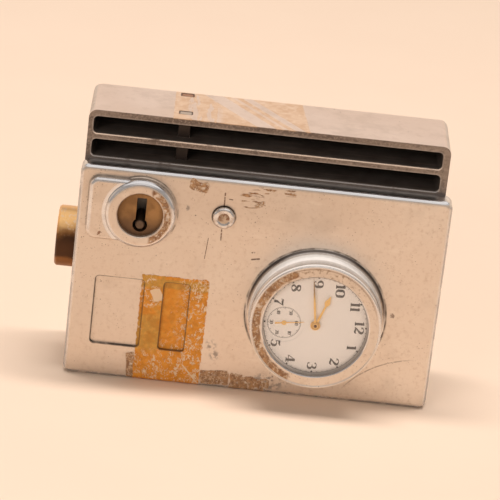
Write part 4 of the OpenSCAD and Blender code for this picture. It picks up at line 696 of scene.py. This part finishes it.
# Springs and blued parts: wound or bent from hard steel wire and strip, the watch screws,
# click and hairspring drawn to blue over heat. The carriage spring stands on the case
# floor under the bolts, which press it together as they drop; here it is a smooth copy
# that rides with the case at its full length.
spring_steel = Finish("spring steel", metallic=0.9, roughness=0.35)
c = spring_steel
c.set(Base_Color=c.colour(c.noise(2, 3), (0.16, 0.15, 0.145), (0.30, 0.28, 0.27)))
c.wear("carriage_spring", "lever_springs")
spring_low, spring_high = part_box("carriage_spring")
bolt_drop = next(joint["range_m"][1] for joint in frame["joints"] if joint["name"] == "bolt_slide")
coil = bpy.data.objects.new("carriage_coil", frame["nodes"]["carriage_spring"].data.copy())
scene.collection.objects.link(coil)
bpy.ops.object.select_all(action="DESELECT")
coil.select_set(True)
bpy.context.view_layer.objects.active = coil
bpy.ops.object.mode_set(mode="EDIT")
bpy.ops.mesh.select_all(action="SELECT")
bpy.ops.mesh.remove_doubles(threshold=0.00001)
bpy.ops.object.mode_set(mode="OBJECT")
bpy.ops.object.shade_smooth_by_angle(angle=math.radians(70))
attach(coil, "case")
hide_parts("carriage_spring")
1 - bolt_drop / (spring_high[2] - spring_low[2])
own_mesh(coil)
blued = Finish("blued steel", metallic=0.95, roughness=0.22)
c = blued
c.set(Base_Color=c.colour(c.noise(1.5, 3), (0.06, 0.09, 0.24), (0.14, 0.16, 0.32)))
c.wear("bridge_screws", "click", "hairspring")

# Movement plates: main plate, bridges and cock of nickelled brass with a fine frosted
# grain, and the ring that holds them in the cover.
frosted = Finish("frosted nickel", metallic=0.9, roughness=0.4)
c = frosted
frost = c.noise(0.25, 2)
c.set(Base_Color=c.colour(c.noise(6, 3), (0.60, 0.57, 0.52), (0.72, 0.69, 0.64)),
      Roughness=0.34 + frost * 0.16, Normal=c.bump(frost, 0.00001))
c.wear("main_plate", "movement_ring", "barrel_bridge", "train_bridge", "balance_cock")

# Train wheels and hands: stamped brass, the wheels gilded and riveted to their pinions,
# the hands fire-gilt and pushed on, with an orange light on them and a dark worn centre.
gilt = Finish("gilt brass", metallic=0.9, roughness=0.3)
c = gilt
tip_y = box_mm("minute_hand")[0][1]
tip = 1 - c.fade(c.y, tip_y + 0.1, tip_y + 0.25)
tone = c.colour(c.noise(2.2, 3), (0.70, 0.46, 0.14), (0.80, 0.58, 0.24))
c.set(Base_Color=c.colour(tip, tone, (0.11, 0.04, 0.015)), Roughness=0.25 + c.noise(0.7, 2) * 0.14)
c.wear("mainspring_barrel", "centre_wheel", "minute_wheel", "hour_wheel", "third_wheel",
       "fourth_wheel", "balance_wheel")
hand_gilt = Finish("gilt hands", metallic=0.3, roughness=0.38)
c = hand_gilt
from_watch = c.reach(watch_x, watch_z)
tone = c.colour(c.noise(1.4, 3), (0.88, 0.50, 0.10), (0.98, 0.66, 0.24))
far_end = c.fade(c.z, watch_z + 8.5, watch_z + 13.5) * (1 - c.fade(c.x, watch_x + 1.5, watch_x + 3.0))
tone = c.colour(far_end * 0.8, tone, (0.20, 0.12, 0.07))
arbor_r, hub_r = 0.5, 1.15
tone = c.colour(1 - c.fade(from_watch, arbor_r, arbor_r + 0.25), tone, (0.11, 0.04, 0.015))
tone = c.colour((1 - c.fade(abs(from_watch - hub_r), 0.1, 0.3)) * 0.7, tone, (0.42, 0.20, 0.05))
c.set(Base_Color=tone)
c.wear("hour_hand", "minute_hand", "seconds_hand", "cannon_pinion")

# Dial: a fired white enamel plate with a sunk seconds ring, domed down at its rim and
# slightly yellowed, with painted shade round its rim that is darkest on its lower right.
enamel = Finish("white enamel", roughness=0.25)
c = enamel
aged = c.fade(c.noise(12, 3, seed=4.0), 0.4, 0.75)
from_watch = c.reach(watch_x, watch_z)
edge = c.fade(from_watch, 17.6, 19.6)
low_side = c.fade((watch_z - c.z) * 0.8 + (c.x - watch_x) * 0.6, 2, 15) * c.fade(from_watch, 16.8, 19.2)
base = c.colour(aged * 0.5, (0.98, 0.93, 0.89), (0.94, 0.875, 0.83))
# painted shade round the rim
base = c.colour(edge * 0.35, base, (0.62, 0.52, 0.43))
# painted shade on the lower right side of the rim
base = c.colour(low_side * 0.75, base, (0.24, 0.19, 0.16))
dome = c.fade(from_watch, 16.5, 20.5) * -1
c.set(Base_Color=base, Roughness=0.22 + aged * 0.1 + edge * 0.3, Normal=c.bump(dome, 0.0003))
c.wear("watch_dial")

# Printing on the dial: fat black figures fired into the enamel, upright to the 12, with
# a minute track of fine dashes and hour dots, and a small seconds ring.
ink = Finish("black enamel print", roughness=0.35)
ink.set(Base_Color=ink.colour(ink.noise(1.2, 3), (0.05, 0.036, 0.03), (0.10, 0.078, 0.065)))
figures = {
    "0": [[(0.31, 0.98, 0.05), (0.10, 0.80, 0.17), (0.08, 0.50, 0.20), (0.10, 0.20, 0.17), (0.31, 0.02, 0.05),
           (0.52, 0.20, 0.17), (0.54, 0.50, 0.20), (0.52, 0.80, 0.17), (0.31, 0.98, 0.05)]],
    "1": [[(0.31, 0.0, 0.19), (0.31, 1.0, 0.19)], [(0.16, 0.03, 0.06), (0.46, 0.03, 0.06)],
          [(0.33, 0.97, 0.06), (0.15, 0.88, 0.06)]],
    "2": [[(0.13, 0.74, 0.17), (0.12, 0.88, 0.08), (0.30, 0.98, 0.05), (0.50, 0.86, 0.15), (0.50, 0.66, 0.19),
           (0.36, 0.44, 0.12), (0.16, 0.22, 0.06), (0.06, 0.06, 0.07)],
          [(0.06, 0.07, 0.05), (0.24, 0.13, 0.12), (0.44, 0.05, 0.13), (0.58, 0.20, 0.05)]],
    "3": [[(0.12, 0.78, 0.15), (0.14, 0.90, 0.07), (0.30, 0.98, 0.05), (0.48, 0.87, 0.14), (0.48, 0.68, 0.16),
           (0.36, 0.55, 0.05), (0.24, 0.53, 0.05)],
          [(0.24, 0.53, 0.05), (0.42, 0.50, 0.08), (0.54, 0.30, 0.19), (0.48, 0.10, 0.14), (0.28, 0.02, 0.05),
           (0.12, 0.10, 0.08), (0.12, 0.22, 0.16)]],
    "4": [[(0.42, 0.0, 0.19), (0.42, 1.0, 0.19)], [(0.22, 0.03, 0.06), (0.60, 0.03, 0.06)],
          [(0.38, 0.97, 0.05), (0.04, 0.28, 0.06)], [(0.02, 0.27, 0.06), (0.62, 0.27, 0.06)]],
    "5": [[(0.16, 0.96, 0.06), (0.16, 0.50, 0.06)],
          [(0.13, 0.91, 0.13), (0.34, 0.90, 0.13), (0.54, 0.98, 0.06)],
          [(0.16, 0.52, 0.05), (0.30, 0.62, 0.05), (0.50, 0.52, 0.14), (0.53, 0.30, 0.20), (0.44, 0.09, 0.13),
           (0.26, 0.02, 0.05), (0.12, 0.09, 0.08), (0.12, 0.22, 0.15)]],
    "6": [[(0.50, 0.80, 0.13), (0.46, 0.94, 0.07), (0.32, 0.98, 0.05), (0.12, 0.78, 0.15), (0.09, 0.45, 0.20),
           (0.14, 0.14, 0.15), (0.31, 0.02, 0.05), (0.50, 0.16, 0.15), (0.52, 0.34, 0.18), (0.44, 0.54, 0.10),
           (0.32, 0.60, 0.05), (0.14, 0.46, 0.05)]],
    "7": [[(0.06, 0.74, 0.05), (0.10, 0.96, 0.06), (0.22, 0.90, 0.14), (0.44, 0.90, 0.12),
           (0.58, 0.98, 0.05)],
          [(0.57, 0.96, 0.05), (0.40, 0.60, 0.08), (0.27, 0.30, 0.18), (0.26, 0.0, 0.21)]],
    "8": [[(0.31, 0.98, 0.05), (0.13, 0.88, 0.14), (0.15, 0.68, 0.17), (0.34, 0.52, 0.16), (0.50, 0.34, 0.17),
           (0.50, 0.14, 0.13), (0.31, 0.02, 0.05), (0.12, 0.13, 0.13), (0.12, 0.32, 0.13), (0.28, 0.50, 0.06),
           (0.47, 0.68, 0.10), (0.48, 0.86, 0.12), (0.31, 0.98, 0.05)]],
    "9": [[(0.12, 0.20, 0.13), (0.16, 0.06, 0.07), (0.30, 0.02, 0.05), (0.50, 0.22, 0.15), (0.53, 0.55, 0.20),
           (0.48, 0.86, 0.15), (0.31, 0.98, 0.05), (0.12, 0.84, 0.15), (0.10, 0.66, 0.18), (0.18, 0.46, 0.10),
           (0.30, 0.40, 0.05), (0.48, 0.54, 0.05)]],
}
dial_front = box_mm("watch_dial")[0][1]
dial_turn = math.radians(2)
seconds_off, seconds_sunk = 11.05, 0.25
seconds_x = watch_x - seconds_off * math.cos(dial_turn)
seconds_z = watch_z - seconds_off * math.sin(dial_turn)
print_gap, print_thick = 0.012, 0.00002
corners, quads = [], []


def pen(line):
    """One brush stroke through points of (x, z, width) in mm, as a flat ribbon."""
    path = []
    for i in range(len(line) - 1):
        a, b, c, d = line[max(i - 1, 0)], line[i], line[i + 1], line[min(i + 2, len(line) - 1)]
        steps = 5 if len(line) > 2 else 1
        for k in range(steps):
            t = k / steps
            path.append([0.5 * (2 * q + (r - p) * t + (2 * p - 5 * q + 4 * r - s) * t ** 2
                                + (3 * q - 3 * r + s - p) * t ** 3) for p, q, r, s in zip(a, b, c, d)])
    path.append(list(line[-1]))
    start = len(corners)
    for i, (x, z, width) in enumerate(path):
        before, after = path[max(i - 1, 0)], path[min(i + 1, len(path) - 1)]
        run = math.hypot(after[0] - before[0], after[1] - before[1]) or 1
        side_x, side_z = -(after[1] - before[1]) / run, (after[0] - before[0]) / run
        corners.append((x + side_x * width / 2, z + side_z * width / 2))
        corners.append((x - side_x * width / 2, z - side_z * width / 2))
    for i in range(len(path) - 1):
        a = start + 2 * i
        quads.append((a, a + 1, a + 3, a + 2))


def figure(text, middle_x, middle_z, height, widen):
    """A number upright to the 12, which lies to the right: it reads downwards."""
    bold = 1.5
    widths = [0.38 if sign == "1" else 0.66 for sign in text]
    for place, sign in enumerate(text):
        middle = sum(widths[:place]) + widths[place] / 2 - sum(widths) / 2
        for line in figures[sign]:
            moved = []
            for x, y, width in line:
                along = (x - 0.31 + middle) * widen * height
                rise = (y - 0.5) * height
                moved.append((middle_x + rise * math.cos(dial_turn) + along * math.sin(dial_turn),
                              middle_z + rise * math.sin(dial_turn) - along * math.cos(dial_turn),
                              width * height * bold))
            pen(moved)


def print_on(name, depth):
    """Makes the strokes drawn so far one thin printed piece at the given depth."""
    mesh = bpy.data.meshes.new(name)
    mesh.from_pydata([(x / 1000, depth / 1000, z / 1000) for x, z in corners], [], quads)
    piece = bpy.data.objects.new(name, mesh)
    scene.collection.objects.link(piece)
    bpy.ops.object.select_all(action="DESELECT")
    piece.select_set(True)
    bpy.context.view_layer.objects.active = piece
    thick = piece.modifiers.new("thickness", "SOLIDIFY")
    thick.thickness = print_thick
    thick.offset = 0
    bpy.ops.object.modifier_apply(modifier="thickness")
    mesh.materials.append(ink.material)
    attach(piece, "case")
    corners.clear()
    quads.clear()


def spoke(middle_x, middle_z, inner, outer, angle, width):
    across, along = math.cos(angle), math.sin(angle)
    pen([(middle_x + inner * across, middle_z + inner * along, width),
         (middle_x + outer * across, middle_z + outer * along, width)])


def circle(middle_x, middle_z, radius, pieces, overlap, width):
    """A thin ring of short straight strokes that overlap by a few tenths of a degree."""
    for place in range(pieces):
        ends = (math.radians(360 / pieces * place), math.radians(360 / pieces * (place + 1) + overlap))
        pen([(middle_x + radius * math.cos(end), middle_z + radius * math.sin(end), width) for end in ends])


figures_r, figure_h, figure_widen = 15.55, 3.3, 1.42
track_r, minute_dash, hour_dot, line_gap = 18.2, 0.45, 0.6, 0.05
for hour in (1, 2, 3, 4, 5, 7, 8, 9, 10, 11, 12):
    angle = dial_turn - math.radians(30 * hour)
    figure(str(hour), watch_x + figures_r * math.cos(angle), watch_z + figures_r * math.sin(angle),
           figure_h, figure_widen)
for minute in range(60):
    angle = dial_turn - math.radians(6 * minute)
    length, width = (minute_dash, 0.17) if minute % 5 else (hour_dot, hour_dot)
    spoke(watch_x, watch_z, track_r - length, track_r, angle, width)
circle(watch_x, watch_z, track_r + line_gap, 120, 0.2, 0.13)
print_on("dial_figures", dial_front - print_gap)
tens_r, tens_h = 4.4, 1.2
seconds_r, second_dash, five_dash = 5.85, 0.35, 0.6
for second in range(60):
    angle = dial_turn - math.radians(6 * second)
    length, width = (second_dash, 0.15) if second % 5 else (five_dash, 0.22)
    spoke(seconds_x, seconds_z, seconds_r - length, seconds_r, angle, width)
circle(seconds_x, seconds_z, seconds_r + line_gap, 72, 0.3, 0.1)
for ten in range(1, 7):
    angle = dial_turn - math.radians(60 * ten)
    figure(str(ten * 10), seconds_x + tens_r * math.cos(angle), seconds_z + tens_r * math.sin(angle),
           tens_h, 1.0)
print_on("seconds_figures", dial_front + seconds_sunk - print_gap)

# Glass: a flat polished crystal pressed into the bezel from behind. It is so clear that
# only its faint sheen shows.
crystal = Finish("crystal", roughness=0.03)
c = crystal
c.set(Base_Color=(0.9, 0.9, 0.9), Alpha=0.07, IOR=1.5)
c.wear("watch_glass")

# The sizes of the CAD model and of this one.
boxes = {"cad": cad_box, "visual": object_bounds()}
boxes = {name: [[float(v) for v in corner] for corner in pair] for name, pair in boxes.items()}
